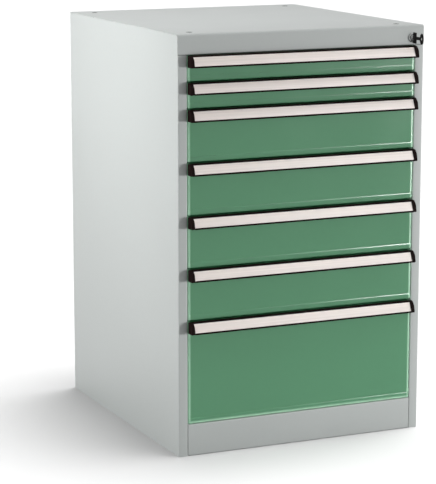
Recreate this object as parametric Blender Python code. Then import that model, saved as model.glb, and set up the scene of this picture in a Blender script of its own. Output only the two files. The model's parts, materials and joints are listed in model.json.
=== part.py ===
"""Industrial drawer cabinet: a folded steel housing with seven drawers on roller runners.

Lengths are in metres and +Z is up. The drawers open towards -Y. The origin is on the floor,
below the middle of the whole object with its handles and its key.

Pieces are drawn in the cabinet's own frame, where Y = 0 is the front face and Y grows
towards the back. The pieces of a drawer are drawn above the bottom of its own row.
"""

import math

import bmesh
import bpy
import numpy as np
from mathutils import Vector

# Housing
WIDTH = 0.515
DEPTH = 0.565
ROW_UNIT_HEIGHT = 0.050
ROW_SPANS = (1, 1, 2, 2, 2, 2, 4)
HEADER_HEIGHT = 0.038
PLINTH_HEIGHT = 0.062
POST_WIDTH = 0.019
FACE_DEPTH = 0.018
REAR_FLANGE = 0.020
BACK_EDGE = 0.012
FOOT_FLANGE = 0.030
SHEET = 0.0012
BEND_RADIUS = 0.0025
TOP_BEND_RADIUS = 0.0045
BEND_STEPS = 4
BEND_PROFILE_SHARE = 0.5

# Clearances
SEAT_GAP = 0.0003
WELD_SINK = 0.0003
CUT_OVERRUN = 0.002
MERGE_DISTANCE = 1e-6
SHARP_ANGLE = math.radians(35)

# Fixing holes in the top, with a weld nut below each
HOLE_RADIUS = 0.006
HOLE_SIDE_INSET = 0.040
HOLE_END_INSET = 0.038
NUT_BORE_RADIUS = 0.0042
NUT_WALL = 0.0058
NUT_HEIGHT = 0.008
NUT_SIDES = 6
HOLE_SIDES = 20

# Drawer fronts
FRONT_SIDE_GAP = 0.0015
FRONT_ROW_GAP = 0.001
FRONT_SIDE_BEND = 0.002
FRONT_TOP_BEND = 0.003
FRONT_BOTTOM_BEND = 0.0035
FRONT_SIDE_STEPS = 2
FRONT_BOTTOM_STEPS = 4

# Drawer boxes
BOX_SHEET = 0.001
BOX_FLOOR_RISE = 0.004
BOX_TOP_CLEARANCE = 0.009
BOX_RIM = 0.006
BACK_SPACE = 0.030
TRAVEL = 0.500

# Handles: a slanted face on a ledge, open below for the fingers
HANDLE_END_INSET = 0.0005
HANDLE_HEIGHT = 0.022
HANDLE_TOP_REACH = 0.009
HANDLE_FOOT_REACH = 0.0195
HANDLE_WALL = 0.0018
HANDLE_TOP_RIM = 0.0027
HANDLE_FOOT_RIM = 0.0033
HANDLE_CAP_WIDTH = 0.006
HANDLE_CAP_BEND = 0.002
HANDLE_CAP_CHEEK_REACH = 0.0165
HANDLE_CAP_CHEEK_DROP = 0.008
HANDLE_CAP_CREST_BEND = 0.005
HANDLE_CAP_CHEEK_BEND = 0.009
HANDLE_CAP_STEPS = 3
STRIP_THICKNESS = 0.001
STRIP_RECESS = 0.0008

# Runners: rollers on a moving bar, between a fixed rail and the drawer's own rail
BAR_POST_CLEARANCE = 0.001
BAR_THICKNESS = 0.002
BAR_HEIGHT = 0.020
BAR_FRONT_SETBACK = 0.006
RAIL_BAR_GAP = 0.0004
RAIL_SHEET = 0.0015
RAIL_LIP = 0.003
RAIL_RISE = 0.001
ROLLER_RADIUS = 0.009
ROLLER_WIDTH = 0.005
ROLLER_SIDE_GAP = 0.0004
ROLLER_END_MARGIN = 0.006
AXLE_RADIUS = 0.003
ROLLER_SIDES = 12
UPRIGHT_WIDTH = 0.030
UPRIGHT_SHEET = 0.0015

# Central lock: a crank on the plug lifts a bar, whose tabs stop the drawers' catches
LOCK_SIDE_INSET = 0.0247
LOCK_DROP = 0.024
COLLAR_RIM = 0.0015
COLLAR_THICKNESS = 0.0025
COLLAR_CHAMFER = 0.0008
LOCK_CASE_WALL = 0.0017
LOCK_NUT_WALL = 0.0032
LOCK_NUT_THICKNESS = 0.004
PLUG_RADIUS = 0.0055
PLUG_PROUD = 0.0005
CAM_RIM = 0.0013
CAM_THICKNESS = 0.003
CAM_GAP = 0.0004
CRANK_RADIUS = 0.0042
CRANK_PIN_RADIUS = 0.002
CRANK_START = math.radians(-45)
CRANK_TURN = math.radians(90)
CRANK_SLOT_CLEARANCE = 0.0005
YOKE_MARGIN = 0.003
LOCK_SIDES = 24
LOCK_BAR_SETBACK = 0.004
LOCK_BAR_THICKNESS = 0.002
LOCK_BAR_WIDTH = 0.010
TAB_RAIL_CLEARANCE = 0.001
TAB_HEIGHT = 0.005
TAB_REACH = 0.007
CATCH_TAB_CLEARANCE = 0.0008
CATCH_HEIGHT = 0.0055
CATCH_WIDTH = 0.0085
CATCH_THICKNESS = 0.002

# Key: a flat plate with a blade, a shoulder, a neck as high as the blade, and an oval bow
KEY_THICKNESS = 0.002
KEY_BLADE_HEIGHT = 0.006
KEY_BLADE_LENGTH = 0.016
KEY_SHOULDER_LENGTH = 0.009
KEY_SHOULDER_HEIGHT = 0.021
KEY_NECK_LENGTH = 0.0165
KEY_BOW_LENGTH = 0.0135
KEY_BOW_HEIGHT = 0.021
KEY_HOLE_RADIUS = 0.0035
KEY_BOW_STEPS = 24

# Places worked out from the sizes above
HALF_WIDTH = WIDTH / 2
POST_EDGE = HALF_WIDTH - POST_WIDTH
HEADER_BOTTOM = PLINTH_HEIGHT + sum(ROW_SPANS) * ROW_UNIT_HEIGHT
HEIGHT = HEADER_BOTTOM + HEADER_HEIGHT
WALL_INSIDE = HALF_WIDTH - SHEET
UNDER_TOP = HEIGHT - SHEET - SEAT_GAP
BACK_OUTSIDE = DEPTH - SHEET - SEAT_GAP
BACK_INSIDE = BACK_OUTSIDE - BACK_EDGE
BASE_FRONT = FACE_DEPTH + SEAT_GAP

FRONT_HALF = POST_EDGE - FRONT_SIDE_GAP
BOX_FRONT = FACE_DEPTH + SEAT_GAP
BOX_REAR = DEPTH - BACK_SPACE

BAR_OUTSIDE = POST_EDGE - BAR_POST_CLEARANCE
BAR_INSIDE = BAR_OUTSIDE - BAR_THICKNESS
RAIL_INNER_HEIGHT = 2 * (ROLLER_RADIUS + SEAT_GAP)
RAIL_HEIGHT = RAIL_INNER_HEIGHT + 2 * RAIL_SHEET
RAIL_WIDTH = 2 * RAIL_SHEET + ROLLER_WIDTH + 2 * ROLLER_SIDE_GAP
RAIL_MIDDLE = BOX_FLOOR_RISE + RAIL_RISE + RAIL_HEIGHT / 2
RAIL_TOP = RAIL_MIDDLE + RAIL_HEIGHT / 2
FIXED_RAIL_MOUTH = BAR_OUTSIDE + RAIL_BAR_GAP
FIXED_RAIL_BACK = FIXED_RAIL_MOUTH + RAIL_WIDTH
DRAWER_RAIL_MOUTH = BAR_INSIDE - RAIL_BAR_GAP
BOX_HALF = DRAWER_RAIL_MOUTH - RAIL_WIDTH
AXLE_LENGTH = RAIL_BAR_GAP + RAIL_SHEET + ROLLER_SIDE_GAP

LOCK_BODY_RADIUS = PLUG_RADIUS + SEAT_GAP + LOCK_CASE_WALL
COLLAR_RADIUS = LOCK_BODY_RADIUS + COLLAR_RIM
LOCK_NUT_BORE_RADIUS = LOCK_BODY_RADIUS + SEAT_GAP
CAM_RADIUS = CRANK_RADIUS + CRANK_PIN_RADIUS + CAM_RIM
LOCK_BAR_FRONT = FACE_DEPTH + LOCK_BAR_SETBACK
LOCK_BAR_REAR = LOCK_BAR_FRONT + LOCK_BAR_THICKNESS
CAM_REAR = LOCK_BAR_FRONT - CAM_GAP
CAM_FRONT = CAM_REAR - CAM_THICKNESS
LOCK_BODY_REAR = CAM_FRONT - CAM_GAP
RACK_FRONT = LOCK_BAR_REAR + SEAT_GAP
CATCH_FRONT = LOCK_BAR_REAR + CATCH_TAB_CLEARANCE
LOCK_X = HALF_WIDTH - LOCK_SIDE_INSET
LOCK_Z = HEIGHT - LOCK_DROP
LOCK_BAR_INSIDE = WALL_INSIDE - SEAT_GAP - LOCK_BAR_WIDTH - UPRIGHT_SHEET
TAB_INSIDE = DRAWER_RAIL_MOUTH - TAB_REACH
TAB_BOTTOM = RAIL_TOP + TAB_RAIL_CLEARANCE
CATCH_BOTTOM = TAB_BOTTOM + TAB_HEIGHT + CATCH_TAB_CLEARANCE

PLUG_FACE = -COLLAR_THICKNESS - PLUG_PROUD
KEY_SHOULDER_REAR = PLUG_FACE - SEAT_GAP
KEY_SHOULDER_FRONT = KEY_SHOULDER_REAR - KEY_SHOULDER_LENGTH
KEY_BOW_MIDDLE = KEY_SHOULDER_FRONT - KEY_NECK_LENGTH - KEY_BOW_LENGTH / 2
KEY_REACH = KEY_BOW_LENGTH / 2 - KEY_BOW_MIDDLE
FRONT_Y = (KEY_REACH - DEPTH) / 2

PLANE_AXES = {"XY": (0, 1, 2), "XZ": (0, 2, 1), "YZ": (1, 2, 0)}
AXIS_X = Vector((1, 0, 0))
AXIS_Y = Vector((0, 1, 0))
AXIS_Z = Vector((0, 0, 1))


def clear_scene():
    """Start from an empty scene."""
    for obj in list(bpy.data.objects):
        bpy.data.objects.remove(obj, do_unlink=True)


def linear(red, green, blue):
    """Scene-linear colour of 8-bit display values."""
    shares = np.array((red, green, blue)) / 255
    return np.where(shares <= 0.04045, shares / 12.92, ((shares + 0.055) / 1.055) ** 2.4)


def principled(name, color, roughness, metallic):
    """One Principled material."""
    material = bpy.data.materials.new(name)
    material.use_nodes = True
    shader = material.node_tree.nodes["Principled BSDF"]
    shader.inputs["Base Color"].default_value = (*color, 1)
    shader.inputs["Roughness"].default_value = roughness
    shader.inputs["Metallic"].default_value = metallic
    return material


def grey_paint(name):
    """Light grey enamel of the housing."""
    return principled(name, linear(205, 209, 207), 0.45, 0.0)


def green_paint(name):
    """Green enamel of the drawer fronts."""
    return principled(name, linear(92, 142, 110), 0.35, 0.0)


def box_paint(name):
    """Grey enamel of the drawer boxes."""
    return principled(name, linear(168, 172, 171), 0.5, 0.0)


def black_plastic(name):
    """Black moulded plastic of the handles."""
    return principled(name, linear(28, 22, 21), 0.4, 0.0)


def label_metal(name):
    """Pale brushed strip in the handles."""
    return principled(name, linear(226, 217, 212), 0.4, 0.3)


def zinc_steel(name):
    """Zinc-plated steel of the runners, nuts and locking parts."""
    return principled(name, linear(178, 180, 182), 0.35, 0.9)


def nickel_plate(name):
    """Satin nickel plate of the lock's case and collar."""
    return principled(name, linear(176, 178, 178), 0.35, 0.9)


def blackened_steel(name):
    """Blackened steel of the key."""
    return principled(name, linear(34, 32, 33), 0.35, 0.6)


def empty(name, parent, location):
    """A frame that carries a group of pieces."""
    frame = bpy.data.objects.new(name, None)
    bpy.context.collection.objects.link(frame)
    frame.parent = parent
    frame.location = location
    return frame


def finish(name, bm, parent, material=None, location=(0, 0, 0)):
    """Close a bmesh into a named object, with smooth shading on its round parts."""
    bmesh.ops.remove_doubles(bm, verts=bm.verts[:], dist=MERGE_DISTANCE)
    bmesh.ops.recalc_face_normals(bm, faces=bm.faces[:])
    mesh = bpy.data.meshes.new(name)
    bm.to_mesh(mesh)
    bm.free()
    mesh.shade_smooth()
    mesh.set_sharp_from_angle(angle=SHARP_ANGLE)
    obj = bpy.data.objects.new(name, mesh)
    bpy.context.collection.objects.link(obj)
    obj.parent = parent
    obj.location = location
    if material:
        mesh.materials.append(material(name))
    return obj


def solidify(obj, thickness):
    """Give an open skin its sheet thickness, inwards."""
    wall = obj.modifiers.new("wall", "SOLIDIFY")
    wall.thickness = thickness
    wall.offset = -1
    wall.use_even_offset = True


def combine(obj, tool, operation):
    """Add or cut a tool body, which itself stays out of the model."""
    tool.display_type = "WIRE"
    tool.hide_render = True
    change = obj.modifiers.new(tool.name, "BOOLEAN")
    change.operation = operation
    change.solver = "EXACT"
    change.object = tool


def add_prism(bm, outline, span, plane):
    """Push a flat outline over a span (low, high) along the axis square to its plane."""
    first, second, third = PLANE_AXES[plane]
    flat = np.asarray(outline)
    count = len(flat)
    points = np.zeros((2 * count, 3))
    points[:, first] = np.tile(flat[:, 0], 2)
    points[:, second] = np.tile(flat[:, 1], 2)
    points[:, third] = np.repeat(span, count)
    verts = [bm.verts.new(point) for point in points]
    faces = [bm.faces.new(verts[:count]), bm.faces.new(verts[count:])]
    for index in range(count):
        following = (index + 1) % count
        quad = (verts[index], verts[following], verts[following + count], verts[index + count])
        faces.append(bm.faces.new(quad))
    bmesh.ops.recalc_face_normals(bm, faces=faces)


def prism(outline, span, plane):
    """A new bmesh that holds one prism."""
    bm = bmesh.new()
    add_prism(bm, outline, span, plane)
    return bm


def rectangle(low, high):
    """Outline of a rectangle from its low and high corners."""
    return [low, (high[0], low[1]), high, (low[0], high[1])]


def block(low, high):
    """A new bmesh that holds one box."""
    return prism(rectangle(low[:2], high[:2]), (low[2], high[2]), "XY")


def add_turned(bm, profile, centre, axis, sides):
    """Turn a profile of (radius, distance along the axis) pairs once round the axis."""
    radial = axis.orthogonal().normalized()
    ring = [bm.verts.new(centre + radial * radius + axis * along) for radius, along in profile]
    edges = [bm.edges.new(pair) for pair in zip(ring, ring[1:])]
    bmesh.ops.spin(
        bm, geom=ring + edges, cent=centre, axis=axis, angle=math.tau, steps=sides, use_merge=True
    )


def turned(profile, centre, axis, sides):
    """A new bmesh that holds one turned body."""
    bm = bmesh.new()
    add_turned(bm, profile, Vector(centre), axis, sides)
    return bm


def cylinder_profile(radius, low, high):
    """Profile of a plain cylinder."""
    return [(0, low), (radius, low), (radius, high), (0, high)]


def ring_profile(radius, bore, low, high):
    """Profile of a ring, which ends where it starts."""
    return [(bore, low), (radius, low), (radius, high), (bore, high), (bore, low)]


def round_corners(path, radii, steps):
    """Turn each corner between a path's ends into an arc of its radius, or of the one radius."""
    corners = [np.array(point, dtype=float) for point in path]
    rounded = [corners[0]]
    radii = np.broadcast_to(radii, len(corners) - 2)
    for before, corner, after, radius in zip(corners, corners[1:], corners[2:], radii):
        way_in = (corner - before) / np.linalg.norm(corner - before)
        way_out = (after - corner) / np.linalg.norm(after - corner)
        turn = math.acos(np.clip(way_in @ way_out, -1, 1))
        cut = radius * math.tan(turn / 2)
        centre = corner + (way_out - way_in) * radius / math.sin(turn)
        start = corner - way_in * cut
        sideways = (start - centre) / radius
        for step in range(steps + 1):
            angle = turn * step / steps
            rounded.append(centre + radius * (sideways * math.cos(angle) + way_in * math.sin(angle)))
    rounded.append(corners[-1])
    return rounded


def offset_path(path, distance):
    """The path moved by a distance to its left, with mitred corners."""
    points = np.array(path)
    runs = np.diff(points, axis=0)
    runs /= np.linalg.norm(runs, axis=1)[:, None]
    normals = np.stack((-runs[:, 1], runs[:, 0]), axis=1)
    before = np.vstack((normals[:1], normals))
    after = np.vstack((normals, normals[-1:]))
    mitres = (before + after) / (1 + np.sum(before * after, axis=1))[:, None]
    return [*(points + distance * mitres)]


def folded(path, thickness):
    """Outline of a sheet whose one face follows the path and whose wall lies to its left."""
    return [*path, *reversed(offset_path(path, thickness))]


def mirrored(outline, side):
    """An outline whose first coordinate is turned to the left (-1) or right (+1) side."""
    return [(side * point[0], point[1]) for point in outline]


def span_on(side, inner, outer):
    """A span across X on the left (-1) or right (+1) side, low end first."""
    return tuple(sorted((side * inner, side * outer)))


def side_panel(name, side, parent):
    """Side wall with the front post and the rear flange folded from one sheet."""
    path = [
        (POST_EDGE, FACE_DEPTH),
        (POST_EDGE, 0),
        (HALF_WIDTH, 0),
        (HALF_WIDTH, DEPTH),
        (HALF_WIDTH - REAR_FLANGE, DEPTH),
    ]
    outline = folded(round_corners(path, BEND_RADIUS, BEND_STEPS), SHEET)
    panel = finish(name, prism(mirrored(outline, side), (0, HEIGHT), "XY"), parent, grey_paint)

    above = [(-CUT_OVERRUN, HEADER_BOTTOM - SEAT_GAP), (-CUT_OVERRUN, HEIGHT + CUT_OVERRUN)]
    above += [(DEPTH + CUT_OVERRUN, HEIGHT + CUT_OVERRUN), (DEPTH + CUT_OVERRUN, UNDER_TOP)]
    under_skin = offset_path(header_run(), SHEET + SEAT_GAP)
    outline = above + under_skin[1:-1] + [(SHEET + SEAT_GAP, HEADER_BOTTOM - SEAT_GAP)]
    tools = prism(outline, span_on(side, POST_EDGE - CUT_OVERRUN, HALF_WIDTH + CUT_OVERRUN), "YZ")
    combine(panel, finish(f"{name}_header_cut", tools, parent), "DIFFERENCE")

    behind_header = rectangle((POST_EDGE - CUT_OVERRUN, 0), (WALL_INSIDE, FACE_DEPTH + CUT_OVERRUN))
    span = (HEADER_BOTTOM - SEAT_GAP, HEIGHT + CUT_OVERRUN)
    tools = prism(mirrored(behind_header, side), span, "XY")
    combine(panel, finish(f"{name}_post_cut", tools, parent), "DIFFERENCE")
    return panel


def header_run():
    """Outer face of the top sheet and header, from the rear edge to the header's foot."""
    corners = [(DEPTH, HEIGHT), (0, HEIGHT), (0, HEADER_BOTTOM)]
    return round_corners(corners, TOP_BEND_RADIUS, BEND_STEPS)


def top_panel(parent):
    """Top sheet, bent down at the front as the header and folded back below it."""
    foot = round_corners(
        [(0, HEIGHT), (0, HEADER_BOTTOM), (FACE_DEPTH, HEADER_BOTTOM)], BEND_RADIUS, BEND_STEPS
    )
    outline = folded(header_run()[:-1] + foot[1:], SHEET)
    panel = finish("top_panel", prism(outline, (-HALF_WIDTH, HALF_WIDTH), "YZ"), parent, grey_paint)

    cuts = bmesh.new()
    through = cylinder_profile(HOLE_RADIUS, -SHEET - CUT_OVERRUN, CUT_OVERRUN)
    for _, x, y in fixing_places():
        add_turned(cuts, through, Vector((x, y, HEIGHT)), AXIS_Z, HOLE_SIDES)
    lock_hole = cylinder_profile(LOCK_BODY_RADIUS + SEAT_GAP, -CUT_OVERRUN, SHEET + CUT_OVERRUN)
    add_turned(cuts, lock_hole, Vector((LOCK_X, 0, LOCK_Z)), AXIS_Y, LOCK_SIDES)
    fold_low = (SHEET, HEADER_BOTTOM - CUT_OVERRUN)
    fold_high = (FACE_DEPTH + CUT_OVERRUN, HEADER_BOTTOM + BEND_RADIUS)
    for side in (-1, 1):
        span = span_on(side, WALL_INSIDE - SEAT_GAP, HALF_WIDTH + CUT_OVERRUN)
        add_prism(cuts, rectangle(fold_low, fold_high), span, "YZ")
    combine(panel, finish("top_panel_cuts", cuts, parent), "DIFFERENCE")
    return panel


def fixing_places():
    """Name and place of each fixing hole in the top."""
    x = HALF_WIDTH - HOLE_SIDE_INSET
    for end, y in (("front", HOLE_END_INSET), ("rear", DEPTH - HOLE_END_INSET)):
        yield f"{end}_left", -x, y
        yield f"{end}_right", x, y


def nut(name, bore, wall, span, axis, parent, location=(0, 0, 0)):
    """Hexagonal nut with a plain round bore."""
    low, high = span
    hexagon = cylinder_profile(bore + wall, low, high)
    through = cylinder_profile(bore, low - CUT_OVERRUN, high + CUT_OVERRUN)
    body = finish(name, turned(hexagon, (0, 0, 0), axis, NUT_SIDES), parent, zinc_steel, location)
    drill = finish(f"{name}_bore", turned(through, (0, 0, 0), axis, LOCK_SIDES), parent, None, location)
    combine(body, drill, "DIFFERENCE")
    return body


def fixing_nuts(parent):
    """A weld nut under each fixing hole."""
    for corner, x, y in fixing_places():
        name = f"fixing_nut_{corner}"
        nut(name, NUT_BORE_RADIUS, NUT_WALL, (-NUT_HEIGHT, 0), AXIS_Z, parent, (x, y, UNDER_TOP))


def back_panel(parent):
    """Back sheet with its upright edges folded forwards, behind it the side panels' flanges."""
    half = WALL_INSIDE - SEAT_GAP
    path = [(half, BACK_INSIDE), (half, BACK_OUTSIDE), (-half, BACK_OUTSIDE), (-half, BACK_INSIDE)]
    outline = folded(round_corners(path, BEND_RADIUS, BEND_STEPS), SHEET)
    return finish("back_panel", prism(outline, (0, UNDER_TOP), "XY"), parent, grey_paint)


def plinth_panel(parent):
    """Front of the plinth, folded back above and below, between the posts."""
    half = POST_EDGE - SEAT_GAP
    path = [(FACE_DEPTH, PLINTH_HEIGHT), (0, PLINTH_HEIGHT), (0, 0), (FACE_DEPTH, 0)]
    outline = folded(round_corners(path, BEND_RADIUS, BEND_STEPS), SHEET)
    return finish("plinth_panel", prism(outline, (-half, half), "YZ"), parent, grey_paint)


def base_frame(parent):
    """Floor of the housing: a pan turned upside down, with flanges that stand on the ground."""
    half = WALL_INSIDE - SEAT_GAP
    rear = BACK_INSIDE - SEAT_GAP
    bm = block((-half, BASE_FRONT, 0), (half, rear, PLINTH_HEIGHT))
    bm.faces.ensure_lookup_table()
    bottom = min(bm.faces, key=lambda face: face.calc_center_median().z)
    bmesh.ops.inset_region(bm, faces=[bottom], thickness=FOOT_FLANGE, use_even_offset=True)
    bmesh.ops.delete(bm, geom=[bottom], context="FACES_ONLY")
    frame = finish("base_frame", bm, parent, grey_paint)
    solidify(frame, SHEET)
    return frame


def rail_outline(mouth, back, middle):
    """Section of a rail: a channel from its back to its mouth, with a lip on each edge."""
    towards = math.copysign(1, mouth - back)
    web = back + towards * RAIL_SHEET
    lip = mouth - towards * RAIL_SHEET
    outer = RAIL_HEIGHT / 2
    inner = RAIL_INNER_HEIGHT / 2
    tip = inner - RAIL_LIP
    upper = [(back, outer), (mouth, outer), (mouth, tip), (lip, tip), (lip, inner), (web, inner)]
    lower = [(x, -z) for x, z in reversed(upper)]
    return [(x, middle + z) for x, z in upper + lower]


def runner_rack(name, side, parent):
    """Two uprights with the fixed rail of every drawer welded to them."""
    wall = WALL_INSIDE - SEAT_GAP
    web = FIXED_RAIL_BACK - WELD_SINK
    uprights = bmesh.new()
    for front in (RACK_FRONT, BOX_REAR - UPRIGHT_WIDTH):
        rear = front + UPRIGHT_WIDTH
        path = [(wall, rear), (web, rear), (web, front), (wall, front)]
        outline = mirrored(folded(path, UPRIGHT_SHEET), side)
        add_prism(uprights, outline, (PLINTH_HEIGHT + SEAT_GAP, UNDER_TOP), "XY")
    rack = finish(name, uprights, parent, zinc_steel)

    rails = bmesh.new()
    for _, bottom, _ in rows():
        outline = rail_outline(FIXED_RAIL_MOUTH, FIXED_RAIL_BACK, bottom + RAIL_MIDDLE)
        add_prism(rails, mirrored(outline, side), (RACK_FRONT, BOX_REAR), "XZ")
    combine(rack, finish(f"{name}_rails", rails, parent), "UNION")
    return rack


def rows():
    """Number, bottom and height of each drawer's row, from the top drawer down."""
    bottom = HEADER_BOTTOM
    for number, units in enumerate(ROW_SPANS, start=1):
        height = units * ROW_UNIT_HEIGHT
        bottom -= height
        yield number, bottom, height


def drawer_front(name, height, parent):
    """Green front: a folded pan, open behind, with a softer bend along its foot."""
    foot = FRONT_ROW_GAP
    top = height - FRONT_ROW_GAP
    corners = [(FACE_DEPTH, foot), (0, foot), (0, top), (FACE_DEPTH, top)]
    foot_run = round_corners(corners[:3], FRONT_BOTTOM_BEND, FRONT_BOTTOM_STEPS)
    top_run = round_corners(corners[1:], FRONT_TOP_BEND, FRONT_SIDE_STEPS)
    bm = prism(foot_run[:-1] + top_run[1:], (-FRONT_HALF, FRONT_HALF), "YZ")
    rear = max(bm.faces, key=lambda face: face.calc_center_median().y)
    bmesh.ops.delete(bm, geom=[rear], context="FACES_ONLY")
    folds = [edge for edge in bm.edges if is_side_fold(edge)]
    bmesh.ops.bevel(
        bm,
        geom=folds,
        offset=FRONT_SIDE_BEND,
        segments=FRONT_SIDE_STEPS,
        profile=BEND_PROFILE_SHARE,
        affect="EDGES",
    )
    front = finish(name, bm, parent, green_paint)
    solidify(front, SHEET)
    return front


def is_side_fold(edge):
    """Whether an edge joins a drawer front's end wall to its skin."""
    reaches = [abs(face.calc_center_median().x) for face in edge.link_faces]
    on_end = [reach > FRONT_HALF - MERGE_DISTANCE for reach in reaches]
    return len(on_end) == 2 and sum(on_end) == 1


def drawer_box(name, height, parent):
    """Drawer box: a pan with a folded rim, its two rails and the catch of the lock."""
    floor = BOX_FLOOR_RISE
    top = height - BOX_TOP_CLEARANCE
    bm = block((-BOX_HALF, BOX_FRONT, floor), (BOX_HALF, BOX_REAR, top))
    upper = max(bm.faces, key=lambda face: face.calc_center_median().z)
    bmesh.ops.inset_region(bm, faces=[upper], thickness=BOX_RIM, use_even_offset=True)
    bmesh.ops.delete(bm, geom=[upper], context="FACES_ONLY")
    box = finish(name, bm, parent, box_paint)
    solidify(box, BOX_SHEET)

    fittings = bmesh.new()
    for side in (-1, 1):
        outline = rail_outline(DRAWER_RAIL_MOUTH, BOX_HALF - WELD_SINK, RAIL_MIDDLE)
        add_prism(fittings, mirrored(outline, side), (BOX_FRONT, BOX_REAR), "XZ")
    catch_low = (BOX_HALF - WELD_SINK, CATCH_FRONT)
    catch_high = (BOX_HALF + CATCH_WIDTH, CATCH_FRONT + CATCH_THICKNESS)
    span = (CATCH_BOTTOM, CATCH_BOTTOM + CATCH_HEIGHT)
    add_prism(fittings, rectangle(catch_low, catch_high), span, "XY")
    combine(box, finish(f"{name}_fittings", fittings, parent), "UNION")
    return box


def handle_section(seat, top):
    """Corners of a handle's section, and the way down its slanted face and out of it."""
    crest = np.array((seat - HANDLE_TOP_REACH, top))
    foot = np.array((seat - HANDLE_FOOT_REACH, top - HANDLE_HEIGHT))
    down = (foot - crest) / np.linalg.norm(foot - crest)
    inwards = np.array((-down[1], down[0]))
    return crest, foot, down, inwards


def drawer_handle(name, height, parent):
    """Black handle: back plate, ledge and slanted face in one section, with bulging end caps."""
    seat = -SEAT_GAP
    top = height - FRONT_ROW_GAP
    bottom = top - HANDLE_HEIGHT
    crest, foot, down, inwards = handle_section(seat, top)
    level_wall = np.array(((HANDLE_WALL + STRIP_RECESS) / inwards[0], 0))
    under_ledge = top - HANDLE_WALL
    ledge_share = HANDLE_WALL / HANDLE_HEIGHT
    section = [
        (seat, bottom),
        (seat, top),
        crest,
        crest + down * HANDLE_TOP_RIM,
        crest + down * HANDLE_TOP_RIM + inwards * STRIP_RECESS,
        foot - down * HANDLE_FOOT_RIM + inwards * STRIP_RECESS,
        foot - down * HANDLE_FOOT_RIM,
        foot,
        foot + level_wall,
        crest + (foot - crest) * ledge_share + level_wall,
        (seat - HANDLE_WALL, under_ledge),
        (seat - HANDLE_WALL, bottom),
    ]
    half = FRONT_HALF - HANDLE_END_INSET
    inner = half - HANDLE_CAP_WIDTH
    reach = inner + WELD_SINK
    handle = finish(name, prism(section, (-reach, reach), "YZ"), parent, black_plastic)

    cheek = (seat - HANDLE_CAP_CHEEK_REACH, top - HANDLE_CAP_CHEEK_DROP)
    corners = [(seat, bottom), (seat, top), crest, cheek, foot, (seat, bottom)]
    bends = (HANDLE_CAP_BEND, HANDLE_CAP_CREST_BEND, HANDLE_CAP_CHEEK_BEND, HANDLE_CAP_BEND)
    outline = round_corners(corners, bends, HANDLE_CAP_STEPS)[:-1]
    caps = bmesh.new()
    for side in (-1, 1):
        add_prism(caps, outline, span_on(side, inner, half), "YZ")
    combine(handle, finish(f"{name}_caps", caps, parent), "UNION")
    return handle


def handle_strip(name, height, parent):
    """Pale strip that lies in the recess of the handle's slanted face."""
    crest, foot, down, inwards = handle_section(-SEAT_GAP, height - FRONT_ROW_GAP)
    half = FRONT_HALF - HANDLE_END_INSET - HANDLE_CAP_WIDTH - SEAT_GAP
    upper = crest + down * (HANDLE_TOP_RIM + SEAT_GAP) + inwards * (STRIP_RECESS - SEAT_GAP)
    lower = foot - down * (HANDLE_FOOT_RIM + SEAT_GAP) + inwards * (STRIP_RECESS - SEAT_GAP)
    proud = inwards * STRIP_THICKNESS
    return finish(
        name, prism([upper, lower, lower - proud, upper - proud], (-half, half), "YZ"), parent, label_metal
    )


def runner(name, side, parent):
    """Moving part of a runner: a bar with rollers for the fixed rail and for the drawer's rail."""
    low = RAIL_MIDDLE - BAR_HEIGHT / 2
    front = BOX_FRONT + BAR_FRONT_SETBACK
    rear = BOX_REAR
    span = span_on(side, BAR_INSIDE, BAR_OUTSIDE)
    outline = rectangle((front, low), (rear, low + BAR_HEIGHT))
    bar = finish(name, prism(outline, span, "YZ"), parent, zinc_steel)

    margin = ROLLER_RADIUS + ROLLER_END_MARGIN
    fixed_rail_places = (RACK_FRONT + TRAVEL / 2 + margin, rear - margin)
    drawer_rail_places = (front + margin, BOX_REAR - TRAVEL / 2 - margin)
    wheel = [
        (0, -WELD_SINK),
        (AXLE_RADIUS, -WELD_SINK),
        (AXLE_RADIUS, AXLE_LENGTH),
        (ROLLER_RADIUS, AXLE_LENGTH),
        (ROLLER_RADIUS, AXLE_LENGTH + ROLLER_WIDTH),
        (0, AXLE_LENGTH + ROLLER_WIDTH),
    ]
    wheels = bmesh.new()
    for y in fixed_rail_places:
        hub = Vector((side * BAR_OUTSIDE, y, RAIL_MIDDLE))
        add_turned(wheels, wheel, hub, side * AXIS_X, ROLLER_SIDES)
    for y in drawer_rail_places:
        hub = Vector((side * BAR_INSIDE, y, RAIL_MIDDLE))
        add_turned(wheels, wheel, hub, -side * AXIS_X, ROLLER_SIDES)
    combine(bar, finish(f"{name}_rollers", wheels, parent), "UNION")
    return bar


def drawer(number, bottom, height, parent):
    """One drawer with its two runners."""
    carriage = empty(f"drawer_{number}_carriage", parent, (0, 0, bottom))
    drawer_front(f"drawer_{number}_front", height, carriage)
    drawer_box(f"drawer_{number}_box", height, carriage)
    drawer_handle(f"drawer_{number}_handle", height, carriage)
    handle_strip(f"drawer_{number}_strip", height, carriage)

    slide = empty(f"drawer_{number}_slide", parent, (0, 0, bottom))
    runner(f"drawer_{number}_runner_left", -1, slide)
    runner(f"drawer_{number}_runner_right", 1, slide)


def lock_case(parent):
    """Fixed body of the lock, with its collar in front of the header."""
    bore = PLUG_RADIUS + SEAT_GAP
    profile = [
        (bore, -COLLAR_THICKNESS),
        (COLLAR_RADIUS - COLLAR_CHAMFER, -COLLAR_THICKNESS),
        (COLLAR_RADIUS, COLLAR_CHAMFER - COLLAR_THICKNESS),
        (COLLAR_RADIUS, -SEAT_GAP),
        (LOCK_BODY_RADIUS, -SEAT_GAP),
        (LOCK_BODY_RADIUS, LOCK_BODY_REAR),
        (bore, LOCK_BODY_REAR),
        (bore, -COLLAR_THICKNESS),
    ]
    return finish("lock_case", turned(profile, (0, 0, 0), AXIS_Y, LOCK_SIDES), parent, nickel_plate)


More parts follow.
